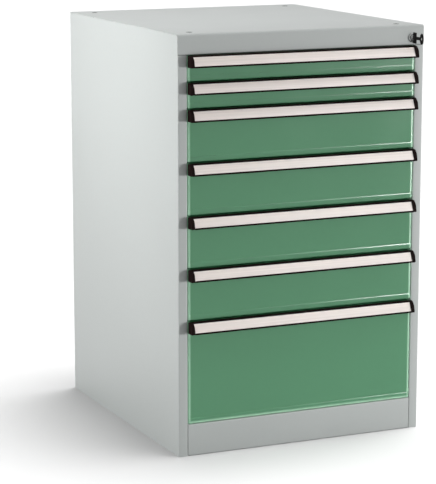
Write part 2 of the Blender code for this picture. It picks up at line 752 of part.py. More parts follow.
def lock_nut(parent):
    """Nut that clamps the lock behind the header."""
    front = SHEET + SEAT_GAP
    span = (front, front + LOCK_NUT_THICKNESS)
    return nut("lock_nut", LOCK_NUT_BORE_RADIUS, LOCK_NUT_WALL, span, AXIS_Y, parent)


def crank_pin_place(turn):
    """Place of the crank pin, from the lock's axis, after a turn of the plug."""
    angle = CRANK_START + turn
    return CRANK_RADIUS * math.cos(angle), CRANK_RADIUS * math.sin(angle)


def lock_plug(parent):
    """Turning plug with its keyway, its cam and the crank pin."""
    profile = [
        (0, PLUG_FACE),
        (PLUG_RADIUS, PLUG_FACE),
        (PLUG_RADIUS, CAM_FRONT),
        (CAM_RADIUS, CAM_FRONT),
        (CAM_RADIUS, CAM_REAR),
        (0, CAM_REAR),
    ]
    plug = finish("lock_plug", turned(profile, (0, 0, 0), AXIS_Y, LOCK_SIDES), parent, zinc_steel)

    x, z = crank_pin_place(0)
    stub = cylinder_profile(CRANK_PIN_RADIUS, CAM_REAR - WELD_SINK, RACK_FRONT - SEAT_GAP)
    pin = finish("lock_plug_pin", turned(stub, (x, 0, z), AXIS_Y, HOLE_SIDES), parent)
    combine(plug, pin, "UNION")

    half_thickness = KEY_THICKNESS / 2 + SEAT_GAP
    half_height = KEY_BLADE_HEIGHT / 2 + SEAT_GAP
    slot = block(
        (-half_thickness, PLUG_FACE - CUT_OVERRUN, -half_height),
        (half_thickness, PLUG_FACE + KEY_BLADE_LENGTH + SEAT_GAP, half_height),
    )
    combine(plug, finish("lock_plug_keyway", slot, parent), "DIFFERENCE")
    return plug


def lock_key(parent):
    """Key, pushed home: its blade, shoulder, neck and oval bow are one flat outline."""
    neck = KEY_BLADE_HEIGHT / 2
    shoulder = KEY_SHOULDER_HEIGHT / 2
    upper = [
        (PLUG_FACE + KEY_BLADE_LENGTH, neck),
        (KEY_SHOULDER_REAR, neck),
        (KEY_SHOULDER_REAR, shoulder),
        (KEY_SHOULDER_FRONT, shoulder),
        (KEY_SHOULDER_FRONT, neck),
    ]
    lower = [(y, -z) for y, z in reversed(upper)]
    start = math.asin(neck / (KEY_BOW_HEIGHT / 2))
    angles = np.linspace(start, math.tau - start, KEY_BOW_STEPS)
    bow_y = KEY_BOW_MIDDLE + KEY_BOW_LENGTH / 2 * np.cos(angles)
    bow_z = KEY_BOW_HEIGHT / 2 * np.sin(angles)
    outline = [*upper, *zip(bow_y, bow_z), *lower]
    half = KEY_THICKNESS / 2
    key = finish("lock_key", prism(outline, (-half, half), "YZ"), parent, blackened_steel)

    through = cylinder_profile(KEY_HOLE_RADIUS, -half - CUT_OVERRUN, half + CUT_OVERRUN)
    hole = turned(through, (0, KEY_BOW_MIDDLE, 0), AXIS_X, HOLE_SIDES)
    combine(key, finish("lock_key_hole", hole, parent), "DIFFERENCE")
    return key


def locking_bar(parent):
    """Flat bar with a tab for each drawer, and a yoke round the crank pin at its top."""
    inside = LOCK_BAR_INSIDE
    outside = inside + LOCK_BAR_WIDTH
    edge = [(inside, PLINTH_HEIGHT + SEAT_GAP)]
    for _, bottom, _ in reversed(list(rows())):
        low = bottom + TAB_BOTTOM
        high = low + TAB_HEIGHT
        edge += [(inside, low), (TAB_INSIDE, low), (TAB_INSIDE, high), (inside, high)]

    pin_x, pin_z = crank_pin_place(0)
    far_x, _ = crank_pin_place(CRANK_TURN / 2)
    half_slot = CRANK_PIN_RADIUS + CRANK_SLOT_CLEARANCE
    slot_low = (LOCK_X + pin_x - half_slot, LOCK_Z + pin_z - half_slot)
    slot_high = (LOCK_X + far_x + half_slot, LOCK_Z + pin_z + half_slot)
    yoke_inside = slot_low[0] - YOKE_MARGIN
    yoke_bottom = slot_low[1] - YOKE_MARGIN
    yoke_top = slot_high[1] + YOKE_MARGIN
    edge += [(inside, yoke_bottom), (yoke_inside, yoke_bottom), (yoke_inside, yoke_top)]
    edge += [(outside, yoke_top), (outside, PLINTH_HEIGHT + SEAT_GAP)]
    bar = finish("locking_bar", prism(edge, (LOCK_BAR_FRONT, LOCK_BAR_REAR), "XZ"), parent, zinc_steel)

    span = (LOCK_BAR_FRONT - CUT_OVERRUN, LOCK_BAR_REAR + CUT_OVERRUN)
    slot = prism(rectangle(slot_low, slot_high), span, "XZ")
    combine(bar, finish("locking_bar_slot", slot, parent), "DIFFERENCE")
    return bar


def housing(parent):
    """The fixed sheet-metal pieces."""
    side_panel("left_side_panel", -1, parent)
    side_panel("right_side_panel", 1, parent)
    top_panel(parent)
    fixing_nuts(parent)
    back_panel(parent)
    plinth_panel(parent)
    base_frame(parent)
    runner_rack("left_runner_rack", -1, parent)
    runner_rack("right_runner_rack", 1, parent)


def central_lock(parent):
    """Lock, key and locking bar."""
    axis = empty("lock_axis", parent, (LOCK_X, 0, LOCK_Z))
    lock_case(axis)
    lock_nut(axis)
    lock_plug(axis)
    lock_key(axis)
    locking_bar(parent)


def main():
    """Build the whole cabinet."""
    clear_scene()
    cabinet = empty("cabinet", None, (0, FRONT_Y, 0))
    housing(cabinet)
    for number, bottom, height in rows():
        drawer(number, bottom, height, cabinet)
    central_lock(cabinet)


main()
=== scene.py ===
"""Looks of an industrial drawer cabinet: enamelled sheet steel, green fronts, black handles with
pale strips, roller runners and a central lock, in a pale studio. Lengths are in metres."""

import json
import math

import bmesh
import bpy
import numpy as np
from mathutils import Euler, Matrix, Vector

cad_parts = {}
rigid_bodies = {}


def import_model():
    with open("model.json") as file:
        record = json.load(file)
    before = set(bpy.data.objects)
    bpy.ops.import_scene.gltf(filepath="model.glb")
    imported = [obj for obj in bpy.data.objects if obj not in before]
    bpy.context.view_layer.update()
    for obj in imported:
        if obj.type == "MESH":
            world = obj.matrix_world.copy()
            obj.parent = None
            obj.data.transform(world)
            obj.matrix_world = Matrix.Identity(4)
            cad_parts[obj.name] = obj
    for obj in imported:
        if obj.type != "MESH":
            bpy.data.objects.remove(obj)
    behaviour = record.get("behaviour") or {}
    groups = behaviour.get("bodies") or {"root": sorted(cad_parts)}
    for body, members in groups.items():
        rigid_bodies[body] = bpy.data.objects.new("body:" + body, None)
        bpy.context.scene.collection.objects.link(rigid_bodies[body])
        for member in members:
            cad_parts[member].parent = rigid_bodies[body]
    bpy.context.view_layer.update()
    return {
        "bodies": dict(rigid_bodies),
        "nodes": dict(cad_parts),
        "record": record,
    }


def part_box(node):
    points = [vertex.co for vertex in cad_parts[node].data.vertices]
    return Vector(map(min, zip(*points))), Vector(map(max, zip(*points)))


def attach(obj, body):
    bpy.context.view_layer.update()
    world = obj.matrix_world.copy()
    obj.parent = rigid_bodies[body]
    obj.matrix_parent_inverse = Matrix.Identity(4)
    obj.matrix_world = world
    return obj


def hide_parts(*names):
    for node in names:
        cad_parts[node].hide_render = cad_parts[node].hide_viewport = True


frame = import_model()

bl_info = {
    "name": "Drawer Cabinet",
    "version": (1, 0, 0),
    "blender": (4, 5, 0),
    "location": "View3D > Sidebar > Cabinet",
    "description": "Builds the finished surfaces of an industrial drawer cabinet",
    "category": "Object",
}

GAP = 0.0003  # clearance between neighbouring pieces
WELD_DISTANCE = 1e-6  # points closer than this become one
BEVEL_ANGLE = math.radians(40)  # edges that turn by more are rounded
CREASE_ANGLE = math.radians(35)  # where none is rounded, edges that turn by more show as creases
FOLD_STEPS = 8  # steps round a fold of the housing
PAN_STEPS = 10  # steps round the bends along a drawer front's top and foot
RIM_FOLD, RAIL_FOLD, UPRIGHT_FOLD = 1.4, 1.3, 1.5  # outer fold radii in sheet thicknesses
FOLD_WEAR = 1.4  # brings the wear to 1 in the middle of a fold
EDGE_HIGHLIGHT_GAIN = 1.6  # keeps the painted edge highlight at 1 over the outer third of a front's highlight band


def ends_of(node):
    """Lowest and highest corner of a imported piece, to a micrometre."""
    low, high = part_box(node)
    return np.round(low, 6), np.round(high, 6)


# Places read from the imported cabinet
TOP_LOW, TOP_HIGH = ends_of("top_panel")
HALF_WIDTH = TOP_HIGH[0]
FACE_Y = TOP_LOW[1]
REAR_Y = TOP_HIGH[1]
HEADER_FOOT = TOP_LOW[2]
HEIGHT = TOP_HIGH[2]
_, PLINTH_HIGH = ends_of("plinth_panel")
PLINTH_TOP = PLINTH_HIGH[2]
POST_EDGE = PLINTH_HIGH[0] + GAP
FACE_DEPTH = PLINTH_HIGH[1] - FACE_Y
LOCK_LOW, LOCK_HIGH = ends_of("lock_case")
LOCK_AXIS = np.array(((LOCK_LOW[0] + LOCK_HIGH[0]) / 2, FACE_Y, (LOCK_LOW[2] + LOCK_HIGH[2]) / 2))
DRAWERS = sorted(name for name in frame["bodies"] if name[:-1] == "drawer_")


# Sizes and colours that a user would change


def size(label, default, text):
    """A length in metres for a property group."""
    return bpy.props.FloatProperty(
        name=label, description=text, default=default, min=0, unit="LENGTH", precision=4
    )


def colour(label, default, text):
    """A colour for a property group, from 8-bit display values."""
    shares = np.array(default) / 255
    linear = np.where(shares <= 0.04045, shares / 12.92, ((shares + 0.055) / 1.055) ** 2.4)
    return bpy.props.FloatVectorProperty(
        name=label, description=text, default=tuple(linear), min=0, max=1, subtype="COLOR"
    )


class CabinetSizes(bpy.types.PropertyGroup):
    """Sizes of the sheet metal, the handles and the lock."""

    sheet: size("Sheet", 0.0012, "Thickness of the housing's and fronts' sheet")
    post_bend: size("Post bend", 0.0025, "Outer radius of the folds in the side and back panels")
    top_bend: size("Top bend", 0.0045, "Outer radius between the top and the header")
    rear_flange: size("Rear flange", 0.020, "Width of the side panels' fold behind the back panel")
    back_edge: size("Back edge", 0.012, "Depth of the back panel's folded edges")
    side_bend: size("Front's side bend", 0.003, "Outer radius down both sides of a drawer front")
    front_top_bend: size("Front's top bend", 0.003, "Outer radius along the top of a drawer front")
    foot_bend: size("Front's foot bend", 0.002, "Outer radius along the foot of a drawer front")
    front_gap: size("Front's side gap", 0.0006, "Gap between a drawer front and a post")
    swell: size("Foot swell", 0.00045, "How far the foot of a drawer front stands proud")
    swell_height: size("Foot swell height", 0.0095, "Height of the proud foot of a drawer front")
    swell_run: size("Foot swell run", 0.0018, "Height over which the foot swells out")
    hole_radius: size("Fixing hole", 0.006, "Radius of the fixing holes in the top")
    hole_side: size("Hole from side", 0.040, "Distance of a fixing hole from the side")
    hole_end: size("Hole from end", 0.038, "Distance of a fixing hole from the front or the rear")
    handle_height: size("Handle height", 0.022, "From the handle's ledge to its foot")
    handle_crest: size("Handle ledge", 0.009, "How far the handle's ledge stands out")
    handle_reach: size("Handle reach", 0.0195, "How far the handle's foot stands out")
    handle_wall: size("Handle wall", 0.0018, "Thickness of the handle's ledge and face")
    top_rim: size("Upper rim", 0.0023, "Black rim above the strip")
    foot_rim: size("Lower rim", 0.0033, "Black rim below the strip")
    recess: size("Recess", 0.0008, "Depth of the recess that holds the strip")
    cap_width: size("Cap width", 0.007, "Width of a handle's end cap")
    cap_bend: size("Cap bend", 0.002, "Radius of an end cap's upper rear and foot corners")
    cap_crest: size("Cap crest", 0.005, "Radius over the top of an end cap")
    cheek_bend: size("Cheek bend", 0.009, "Radius over the bulge of an end cap")
    cheek_reach: size("Cheek reach", 0.0165, "How far an end cap's bulge stands out")
    cheek_drop: size("Cheek drop", 0.008, "How far below the ledge an end cap bulges most")
    collar_chamfer: size("Collar chamfer", 0.0008, "Chamfer round the lock's collar")
    lock_bore: size("Lock bore", 0.0058, "Radius of the bore that holds the lock's plug")
    lock_body: size("Lock body", 0.0075, "Radius of the lock's body behind its collar")
    key_blade: size("Key blade", 0.006, "Height of the key's blade and neck")
    key_blade_length: size("Key blade length", 0.016, "How far the key's blade goes into the plug")
    key_shoulder: size("Key shoulder", 0.0115, "Length of the key's shoulder")
    key_bow: size("Key bow", 0.0135, "Length of the key's bow")
    key_hole: size("Key hole", 0.0026, "Radius of the hole in the key's bow")
    rail_sheet: size("Rail sheet", 0.0015, "Thickness of the rails and of their uprights")
    rail_lip: size("Rail lip", 0.003, "Height of a rail's lips")
    rail_width: size("Rail width", 0.0088, "From a rail's back to its mouth")
    rail_height: size("Rail height", 0.0216, "Outer height of a rail")
    rail_rise: size("Rail rise", 0.001, "From the bottom of a drawer's box to its rails")
    box_sheet: size("Box sheet", 0.001, "Thickness of a drawer box's sheet")
    box_bend: size("Box bend", 0.0025, "Outer radius of a drawer box's folds")
    box_rim: size("Box rim", 0.006, "Width of a drawer box's folded rim")
    upright: size("Upright", 0.030, "Width of the rack's uprights")
    bar_sheet: size("Runner bar", 0.002, "Thickness of a runner's bar")
    bar_height: size("Runner bar height", 0.020, "Height of a runner's bar")
    roller: size("Roller", 0.009, "Radius of a roller")
    roller_width: size("Roller width", 0.005, "Width of a roller")
    axle: size("Axle", 0.003, "Radius of a roller's axle")
    nut_collar: size("Nut collar", 0.0059, "Radius of a weld nut's collar in its fixing hole")
    nut_bore: size("Nut bore", 0.0034, "Radius of the bore in a weld nut")
    nut_chamfer: size("Nut chamfer", 0.0008, "Chamfer round a weld nut and its bore")
    nut_pitch: size("Nut pitch", 0.00125, "Pitch of a weld nut's thread")
    # Width of the pale band painted along a front's edges as a highlight
    wear_and_highlight_band: size("Rubbed edge", 0.006, "Width of the rubbed enamel along a front's edges")
    edge: size("Edge", 0.0003, "Rounding of a cut sheet edge")


class CabinetColours(bpy.types.PropertyGroup):
    """Colours of the finishes."""

    housing: colour("Housing", (205, 210, 208), "Light grey enamel of the housing")
    front: colour("Fronts", (93, 161, 118), "Green enamel of the drawer fronts")
    # Pale mint painted along the fronts' edges as the highlight that their bends catch
    front_edge_highlight: colour("Front edge", (196, 250, 214), "Thin enamel along the fronts' edges")
    box: colour("Boxes", (168, 172, 171), "Grey enamel of the drawer boxes")
    handle: colour("Handles", (20, 9, 8), "Black plastic of the handles")
    strip: colour("Strips", (246, 234, 227), "Pale brushed strips in the handles")
    zinc: colour("Zinc", (186, 188, 190), "Zinc-plated steel of the runners")
    nickel: colour("Nickel", (160, 162, 161), "Nickel plating of the lock")
    key: colour("Key", (30, 28, 29), "Blackened steel of the key")
    # Near-black painted into the weld nuts, whose collars fill the fixing holes, as the shade
    # inside the holes
    nut: colour("Weld nuts", (40, 42, 43), "Blackened steel of the weld nuts")
    floor: colour("Floor", (216, 216, 216), "Studio floor")


# Shader expressions


class Signal:
    """A socket of a node tree. An expression on signals adds its Math nodes."""

    def __init__(self, tree, socket):
        self.tree = tree
        self.socket = socket

    def math(self, operation, other):
        """Math node on this signal and another, or a number."""
        return self.tree.add("ShaderNodeMath", {"operation": operation}, {0: self, 1: other})

    def __add__(self, other):
        return self.math("ADD", other)

    def __mul__(self, other):
        return self.math("MULTIPLY", other)

    __radd__ = __add__
    __rmul__ = __mul__

    def step(self, low, high):
        """0 below low, 1 above high and smooth in between."""
        return self.tree.add(
            "ShaderNodeMapRange",
            {"interpolation_type": "SMOOTHSTEP"},
            {"Value": self, "From Min": low, "From Max": high},
        )


class Nodes:
    """A node tree that expressions add to."""

    def __init__(self, holder):
        holder.use_nodes = True
        self.tree = holder.node_tree

    def add(self, kind, settings, inputs, output=0):
        """Add a node: its settings first, then the values or links of its sockets."""
        node = self.tree.nodes.new(kind)
        for name, value in settings.items():
            setattr(node, name, value)
        for name, value in inputs.items():
            self.feed(node.inputs[name], value)
        return Signal(self, node.outputs[output])

    def feed(self, socket, value):
        """Give a socket a link or a value."""
        if isinstance(value, Signal):
            self.tree.links.new(value.socket, socket)
        elif socket.type == "RGBA":
            socket.default_value = (*value[:3], 1)
        else:
            socket.default_value = value

    def seen(self):
        """1 for rays from the camera, off a shiny surface or through glass, else 0."""
        names = ("Is Camera Ray", "Is Glossy Ray", "Is Transmission Ray")
        camera, glossy, through = (self.add("ShaderNodeLightPath", {}, {}, name) for name in names)
        return (camera + glossy + through).math("MINIMUM", 1.0)


class Finish(Nodes):
    """One material: its Principled shader and the nodes that feed it."""

    def __init__(self, name, roughness, metallic=0.0, specular=0.5):
        self.material = bpy.data.materials.new(name)
        super().__init__(self.material)
        self.shader = self.tree.nodes["Principled BSDF"]
        self.set(Roughness=roughness, Metallic=metallic, Specular_IOR_Level=specular)

    def set(self, **inputs):
        """Feed the shader's sockets, named with _ for a space."""
        for name, value in inputs.items():
            self.feed(self.shader.inputs[name.replace("_", " ")], value)

    def noise(self, scale, detail=3, stretch=(1, 1, 1)):
        """Cloudy pattern from 0 to 1 on stretched object coordinates, with scale cells to the
        metre."""
        place = self.add("ShaderNodeTexCoord", {}, {}, "Object")
        place = self.add("ShaderNodeMapping", {}, {"Vector": place, "Scale": stretch})
        inputs = {"Vector": place, "Scale": scale, "Detail": detail}
        return self.add("ShaderNodeTexNoise", {}, inputs)

    def mix(self, share, first, second):
        """Blend of two colours."""
        return self.add("ShaderNodeMix", {"data_type": "RGBA"}, {0: share, 6: first, 7: second}, 2)

    def bump(self, height, depth, normal=None):
        """Relief whose height signal of 1 stands for depth metres."""
        inputs = {"Height": height, "Strength": 1.0, "Distance": depth}
        if normal:
            inputs["Normal"] = normal
        return self.add("ShaderNodeBump", {}, inputs)


def shaded(base, factor):
    """A colour made lighter or darker by one factor."""
    return tuple(min(1.0, channel * factor) for channel in base)


def paler(base, share):
    """A colour moved towards white by a share."""
    return tuple(channel + (1 - channel) * share for channel in base)


def enamel(name, base, roughness, worn_and_highlit):
    """Baked enamel: fine orange peel on broad waves, faint cloudiness, uneven shine, and a tone of
    its own along folds, where it is thin and rubbed, and along a drawer front's edges, where that
    tone is a painted highlight."""
    finish = Finish(name, roughness)
    clouds = finish.noise(scale=3.5, detail=4) * 0.7 + finish.noise(scale=140) * 0.3
    # The attribute holds the fold wear of the housing and the highlight painted along the drawer
    # fronts' edges
    wear_and_highlight = finish.add("ShaderNodeAttribute", {"attribute_name": "wear_and_highlight"}, {}, "Fac")
    wear_and_highlight = wear_and_highlight * (finish.noise(scale=60, detail=4) * 0.5 + 0.75)
    body = finish.mix(clouds, shaded(base, 0.95), shaded(base, 1.05))
    finish.set(Base_Color=finish.mix(wear_and_highlight, body, worn_and_highlit))
    dulled = finish.noise(scale=14, detail=5)
    finish.set(Roughness=dulled * 0.12 + (roughness - 0.06) + wear_and_highlight * 0.05)
    peel = finish.bump(finish.noise(scale=330, detail=2), depth=0.00003)
    waves = finish.noise(scale=5, detail=2)
    finish.set(Normal=finish.bump(waves, depth=0.0006, normal=peel))
    return finish.material


def black_plastic(name, base):
    """Moulded plastic: a fine spark-eroded grain and slightly shinier handled patches."""
    finish = Finish(name, 0.5, specular=0.05)
    handled = finish.noise(scale=22, detail=4).step(0.35, 0.7)
    finish.set(Base_Color=finish.mix(handled, base, shaded(base, 1.5)))
    finish.set(Roughness=handled * -0.12 + 0.56)
    finish.set(Normal=finish.bump(finish.noise(scale=1500), depth=0.00004))
    return finish.material


def brushed_strip(name, base):
    """Pale strip with fine streaks along its length."""
    finish = Finish(name, 0.42)
    fine = finish.noise(scale=1.0, detail=4, stretch=(4, 900, 900))
    broad = finish.noise(scale=1.0, stretch=(2.5, 260, 260))
    streaks = fine * 0.6 + broad * 0.4
    share = streaks.step(0.32, 0.7)
    finish.set(Base_Color=finish.mix(share, shaded(base, 0.93), shaded(base, 1.07)))
    finish.set(Roughness=streaks * 0.25 + 0.28)
    finish.set(Normal=finish.bump(fine, depth=0.00003))
    return finish.material


def plated(name, base, roughness):
    """Plated steel: faint crystal clouds, drawing lines and uneven shine."""
    finish = Finish(name, roughness, metallic=1.0)
    clouds = finish.noise(scale=45, detail=5).step(0.3, 0.7)
    lines = finish.noise(scale=1.0, stretch=(500, 12, 500))
    finish.set(Base_Color=finish.mix(clouds, shaded(base, 0.86), shaded(base, 1.06)))
    finish.set(Roughness=clouds * 0.12 + lines * 0.12 + (roughness - 0.12))
    finish.set(Normal=finish.bump(lines, depth=0.00003))
    return finish.material


def blackened(name, base):
    """Phosphated steel: dull and nearly black, with grey crystals."""
    finish = Finish(name, 0.6, specular=0.02)
    crystals = finish.noise(scale=700)
    finish.set(Base_Color=finish.mix(crystals.step(0.4, 0.8), shaded(base, 0.8), shaded(base, 1.6)))
    finish.set(Roughness=crystals * 0.2 + 0.5)
    finish.set(Normal=finish.bump(crystals, depth=0.00002))
    return finish.material


def made(kind, name, *values):
    """The material of that name, made by its function where it isn't there yet."""
    return bpy.data.materials.get(name) or kind(name, *values)


def finishes():
    """The finish of each of the record's slots, and that of the weld nuts."""
    tones = bpy.context.scene.cabinet_colours
    rubbed_housing, rubbed_box = paler(tones.housing, 0.12), paler(tones.box, 0.1)
    return {
        "housing_paint": made(enamel, "housing_enamel", tones.housing, 0.42, rubbed_housing),
        # The fronts' pale edge tone is a painted highlight
        "front_paint": made(enamel, "front_enamel", tones.front, 0.18, tones.front_edge_highlight),
        "box_paint": made(enamel, "box_enamel", tones.box, 0.48, rubbed_box),
        "handle_black": made(black_plastic, "handle_plastic", tones.handle),
        "label_strip": made(brushed_strip, "brushed_strip", tones.strip),
        "zinc_steel": made(plated, "zinc_plate", tones.zinc, 0.36),
        "lock_nickel": made(plated, "nickel_plate", tones.nickel, 0.2),
        "key_black": made(plated, "key_steel", tones.key, 0.42),
        "black_steel": made(blackened, "black_steel", tones.nut),
    }


# Surfaces


class Surface:
    """Points, and faces as arrays of point numbers, one array for each count of corners."""

    def __init__(self, points, *faces):
        self.points = np.asarray(points, dtype=float).reshape(-1, 3)
        self.faces = [np.asarray(block) for block in faces]

    def __add__(self, other):
        moved = [block + len(self.points) for block in other.faces]
        return Surface(np.vstack((self.points, other.points)), *self.faces, *moved)

    def mapped(self, change):
        """The surface with its points changed."""
        return Surface(change(self.points), *self.faces)

    def mirrored(self):
        """The surface on the other side of X = 0."""
        return Surface(self.points * (-1, 1, 1), *(block[:, ::-1] for block in self.faces))


def grid(points, closed=False):
    """Quads over an array of (rows, columns) points; closed joins the last row to the first."""
    rows, columns = points.shape[:2]
    numbers = np.arange(rows * columns).reshape(rows, columns)
    below = np.roll(numbers, -1, 0) if closed else numbers[1:]
    above = numbers if closed else numbers[:-1]
    quads = np.stack((above[:, :-1], below[:, :-1], below[:, 1:], above[:, 1:]), axis=-1)
    return Surface(points, quads.reshape(-1, 4))


def welded(surface, *twins):
    """Points that fall together become one, and faces that vanish go. Twins follow the points."""
    keys = np.round(surface.points / WELD_DISTANCE).astype(np.int64)
    _, first, number = np.unique(keys, axis=0, return_index=True, return_inverse=True)
    blocks = []
    for block in surface.faces:
        corners = number.ravel()[block]
        kept = corners != np.roll(corners, 1, 1)
        counts = kept.sum(1)
        for count in np.unique(counts[counts > 2]):
            rows = counts == count
            blocks.append(corners[rows][kept[rows]].reshape(-1, count))
    return Surface(surface.points[first], *blocks), *(twin[first] for twin in twins)


def thick(surface, inner):
    """Closed wall: a skin, its inner twin turned round, and a strip along each open edge."""
    surface, inner = welded(surface, inner.points)
    edges = np.vstack([np.stack((b, np.roll(b, -1, 1)), -1).reshape(-1, 2) for b in surface.faces])
    pairs = np.sort(edges, 1)
    _, number, counts = np.unique(pairs, axis=0, return_inverse=True, return_counts=True)
    rim = edges[counts[number.ravel()] == 1]
    count = len(surface.points)
    inner_faces = [block[:, ::-1] + count for block in surface.faces]
    strip = np.column_stack((rim[:, ::-1], rim + count))
    return Surface(np.vstack((surface.points, inner)), *surface.faces, *inner_faces, strip)


def rounded(corners, radii, steps, closed=False):
    """Flat path whose corners are arcs. A corner's arc has its centre one radius inside both runs,
    and its points are centre + radius * (cos a * start side + sin a * way in)."""
    points = np.array(corners, dtype=float)
    inner = range(len(points)) if closed else range(1, len(points) - 1)
    path = [] if closed else [points[:1]]
    for number, radius in zip(inner, np.broadcast_to(radii, len(inner))):
        corner = points[number]
        way_in = corner - points[number - 1]
        way_out = points[(number + 1) % len(points)] - corner
        way_in /= np.linalg.norm(way_in)
        way_out /= np.linalg.norm(way_out)
        turn = math.acos(np.clip(way_in @ way_out, -1, 1))
        centre = corner + (way_out - way_in) * radius / math.sin(turn)
        side = corner - way_in * radius * math.tan(turn / 2) - centre
        angles = np.linspace(0, turn, steps + 1)[:, None]
        path.append(centre + side * np.cos(angles) + way_in * radius * np.sin(angles))
    if not closed:
        path.append(points[-1:])
    return np.vstack(path)


def shifted(path, distance):
    """An open flat path moved to its left, with mitred corners."""
    runs = np.diff(path, axis=0)
    runs /= np.linalg.norm(runs, axis=1)[:, None]
    normals = np.stack((-runs[:, 1], runs[:, 0]), axis=1)
    before = np.vstack((normals[:1], normals))
    after = np.vstack((normals, normals[-1:]))
    return path + distance * (before + after) / (1 + np.sum(before * after, axis=1))[:, None]


def raised(flat, heights):
    """Flat (x, y) points with their heights added."""
    heights = np.broadcast_to(heights, flat.shape[:-1])
    return np.concatenate((flat, heights[..., None]), axis=-1)


def upright(path, heights):
    """Grid of a flat (x, y) path carried up Z, each point through its own heights (rows, path)."""
    return grid(raised(np.broadcast_to(path, (len(heights), *path.shape)), heights))


def crosswise(path, places):
    """Grid of a flat (y, z) path, or one for each place, carried across X through the places."""
    points = np.zeros((len(places), path.shape[-2], 3))
    points[..., 0] = np.asarray(places)[:, None]
    points[..., 1:] = path
    return grid(points)


def bar(outline, low, high):
    """Closed (y, z) outline carried across X from low to high, with flat ends."""
    sides = crosswise(np.vstack((outline, outline[:1])), (low, high))
    count = len(outline)
    ends = np.arange(count)[None]
    points = sides.points
    return Surface(points, *sides.faces, ends, ends[:, ::-1] + count + 1)


def swung(points):
    """Points with X and Y exchanged, which turns a bar across X into a bar along Y."""
    return points[:, (1, 0, 2)]


def stood(points):
    """Points turned from (x, y, z) to (y, z, x), which stands a bar across X upright."""
    return points[:, (1, 2, 0)]


def turned(profile, centre, sides, corners=0):
    """Profile of (radius, y) points turned round an axis along Y through a centre (x, y, z):
    x = radius * cos a, z = radius * sin a. A profile point may have a third number, its share of
    an even polygon with that many corners, whose radius is r * cos(pi / n) / cos(a from a flat's
    middle)."""
    angles = np.linspace(0, math.tau, sides, endpoint=False)[:, None]
    radius, along = np.array([point[:2] for point in profile], dtype=float).T
    if corners:
        flat = math.pi / corners
        polygon = math.cos(flat) / np.cos((angles + flat) % (2 * flat) - flat)
        share = np.array([point[2] for point in profile])
        radius = radius * (1 + share * (polygon - 1))
    rows = np.broadcast_arrays(radius * np.cos(angles), along, radius * np.sin(angles))
    return grid(np.stack(rows, axis=-1) + centre, closed=True)


def pierced(u_lines, v_lines, holes, margin, steps):
    """Flat sheet of quads on lines across u and v, with round holes (u, v, radius). The square
    block of cells round a hole becomes one ring, from the block's edge to the hole: edge point *
    radius / its distance from the middle."""
    shares = np.linspace(-1, 1, steps + 1)
    for u, v, radius in holes:
        u_lines = np.append(u_lines, u + (radius + margin) * shares)
        v_lines = np.append(v_lines, v + (radius + margin) * shares)
    us = np.unique(np.round(u_lines, 6))
    vs = np.unique(np.round(v_lines, 6))
    sheet = grid(np.stack(np.meshgrid(us, vs, [0.0], indexing="ij"), axis=-1)[:, :, 0])
    middles = sheet.points[sheet.faces[0]].mean(1)[:, :2]
    open_faces = np.zeros(len(middles), dtype=bool)
    rings = []
    for u, v, radius in holes:
        block = radius + margin
        open_faces |= np.all(np.abs(middles - (u, v)) < block, axis=1)
        across = us[np.abs(us - u) < block + WELD_DISTANCE] - u
        along = vs[np.abs(vs - v) < block + WELD_DISTANCE] - v
        low, high, left, right = along[0], along[-1], across[0], across[-1]
        edge = [(x, low) for x in across] + [(right, y) for y in along[1:]]
        edge += [(x, high) for x in across[-2::-1]] + [(left, y) for y in along[-2:0:-1]]
        hole = np.array(edge) * radius / np.linalg.norm(edge, axis=1)[:, None]
        loop = np.stack((edge, hole), axis=1) + (u, v)
        rings.append(grid(raised(loop, 0.0), closed=True))
    sheet.faces = [sheet.faces[0][~open_faces]]
    for ring in rings:
        sheet = sheet + Surface(ring.points, ring.faces[0][:, ::-1])
    return sheet


def sided(surface, side):
    """A surface of the right side, or its mirror image on the left side."""
    return surface if side == "right" else surface.mirrored()


# Finished pieces


def fold_wear(radius, *distances):
    """Wear along a fold: 0 where it meets either face and 1 in its middle, from the distances to
    the planes of both faces: gain (1 - larger distance / radius), kept from 0 to 1."""
    return np.clip(FOLD_WEAR * (1 - np.max(distances, axis=0) / radius), 0, 1)


def placed(name, data):
    """New object in the scene."""
    obj = bpy.data.objects.new(name, data)
    bpy.context.scene.collection.objects.link(obj)
    return obj


def build(name, surface, body, node, slot, edge=0.0, finish="", wear_and_highlight=None):
    """Turn a surface into a finished piece that rides on its body and replaces a node. Its finish
    is its slot's, where no other is named. Its wear, and on a drawer front its painted edge
    highlight, becomes an attribute that enamel reads."""
    surface = welded(surface)[0]
    mesh = bpy.data.meshes.new(name)
    mesh.from_pydata(surface.points, [], sum((block.tolist() for block in surface.faces), []))
    bm = bmesh.new()
    bm.from_mesh(mesh)
    bmesh.ops.recalc_face_normals(bm, faces=bm.faces[:])
    bm.to_mesh(mesh)
    bm.free()
    mesh.shade_smooth()
    if wear_and_highlight:
        wear_and_highlight_band = mesh.attributes.new("wear_and_highlight", "FLOAT", "POINT")
        wear_and_highlight_band.data.foreach_set("value", wear_and_highlight(*surface.points.T))
    obj = placed(name, mesh)
    if edge:
        soft = obj.modifiers.new("edges", "BEVEL")
        soft.width = edge
        soft.segments = 2
        soft.limit_method = "ANGLE"
        soft.angle_limit = BEVEL_ANGLE
        soft.harden_normals = True
    else:
        mesh.set_sharp_from_angle(angle=CREASE_ANGLE)
    mesh.materials.append(finishes()[finish or slot])
    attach(obj, body)
    if node:
        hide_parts(node)


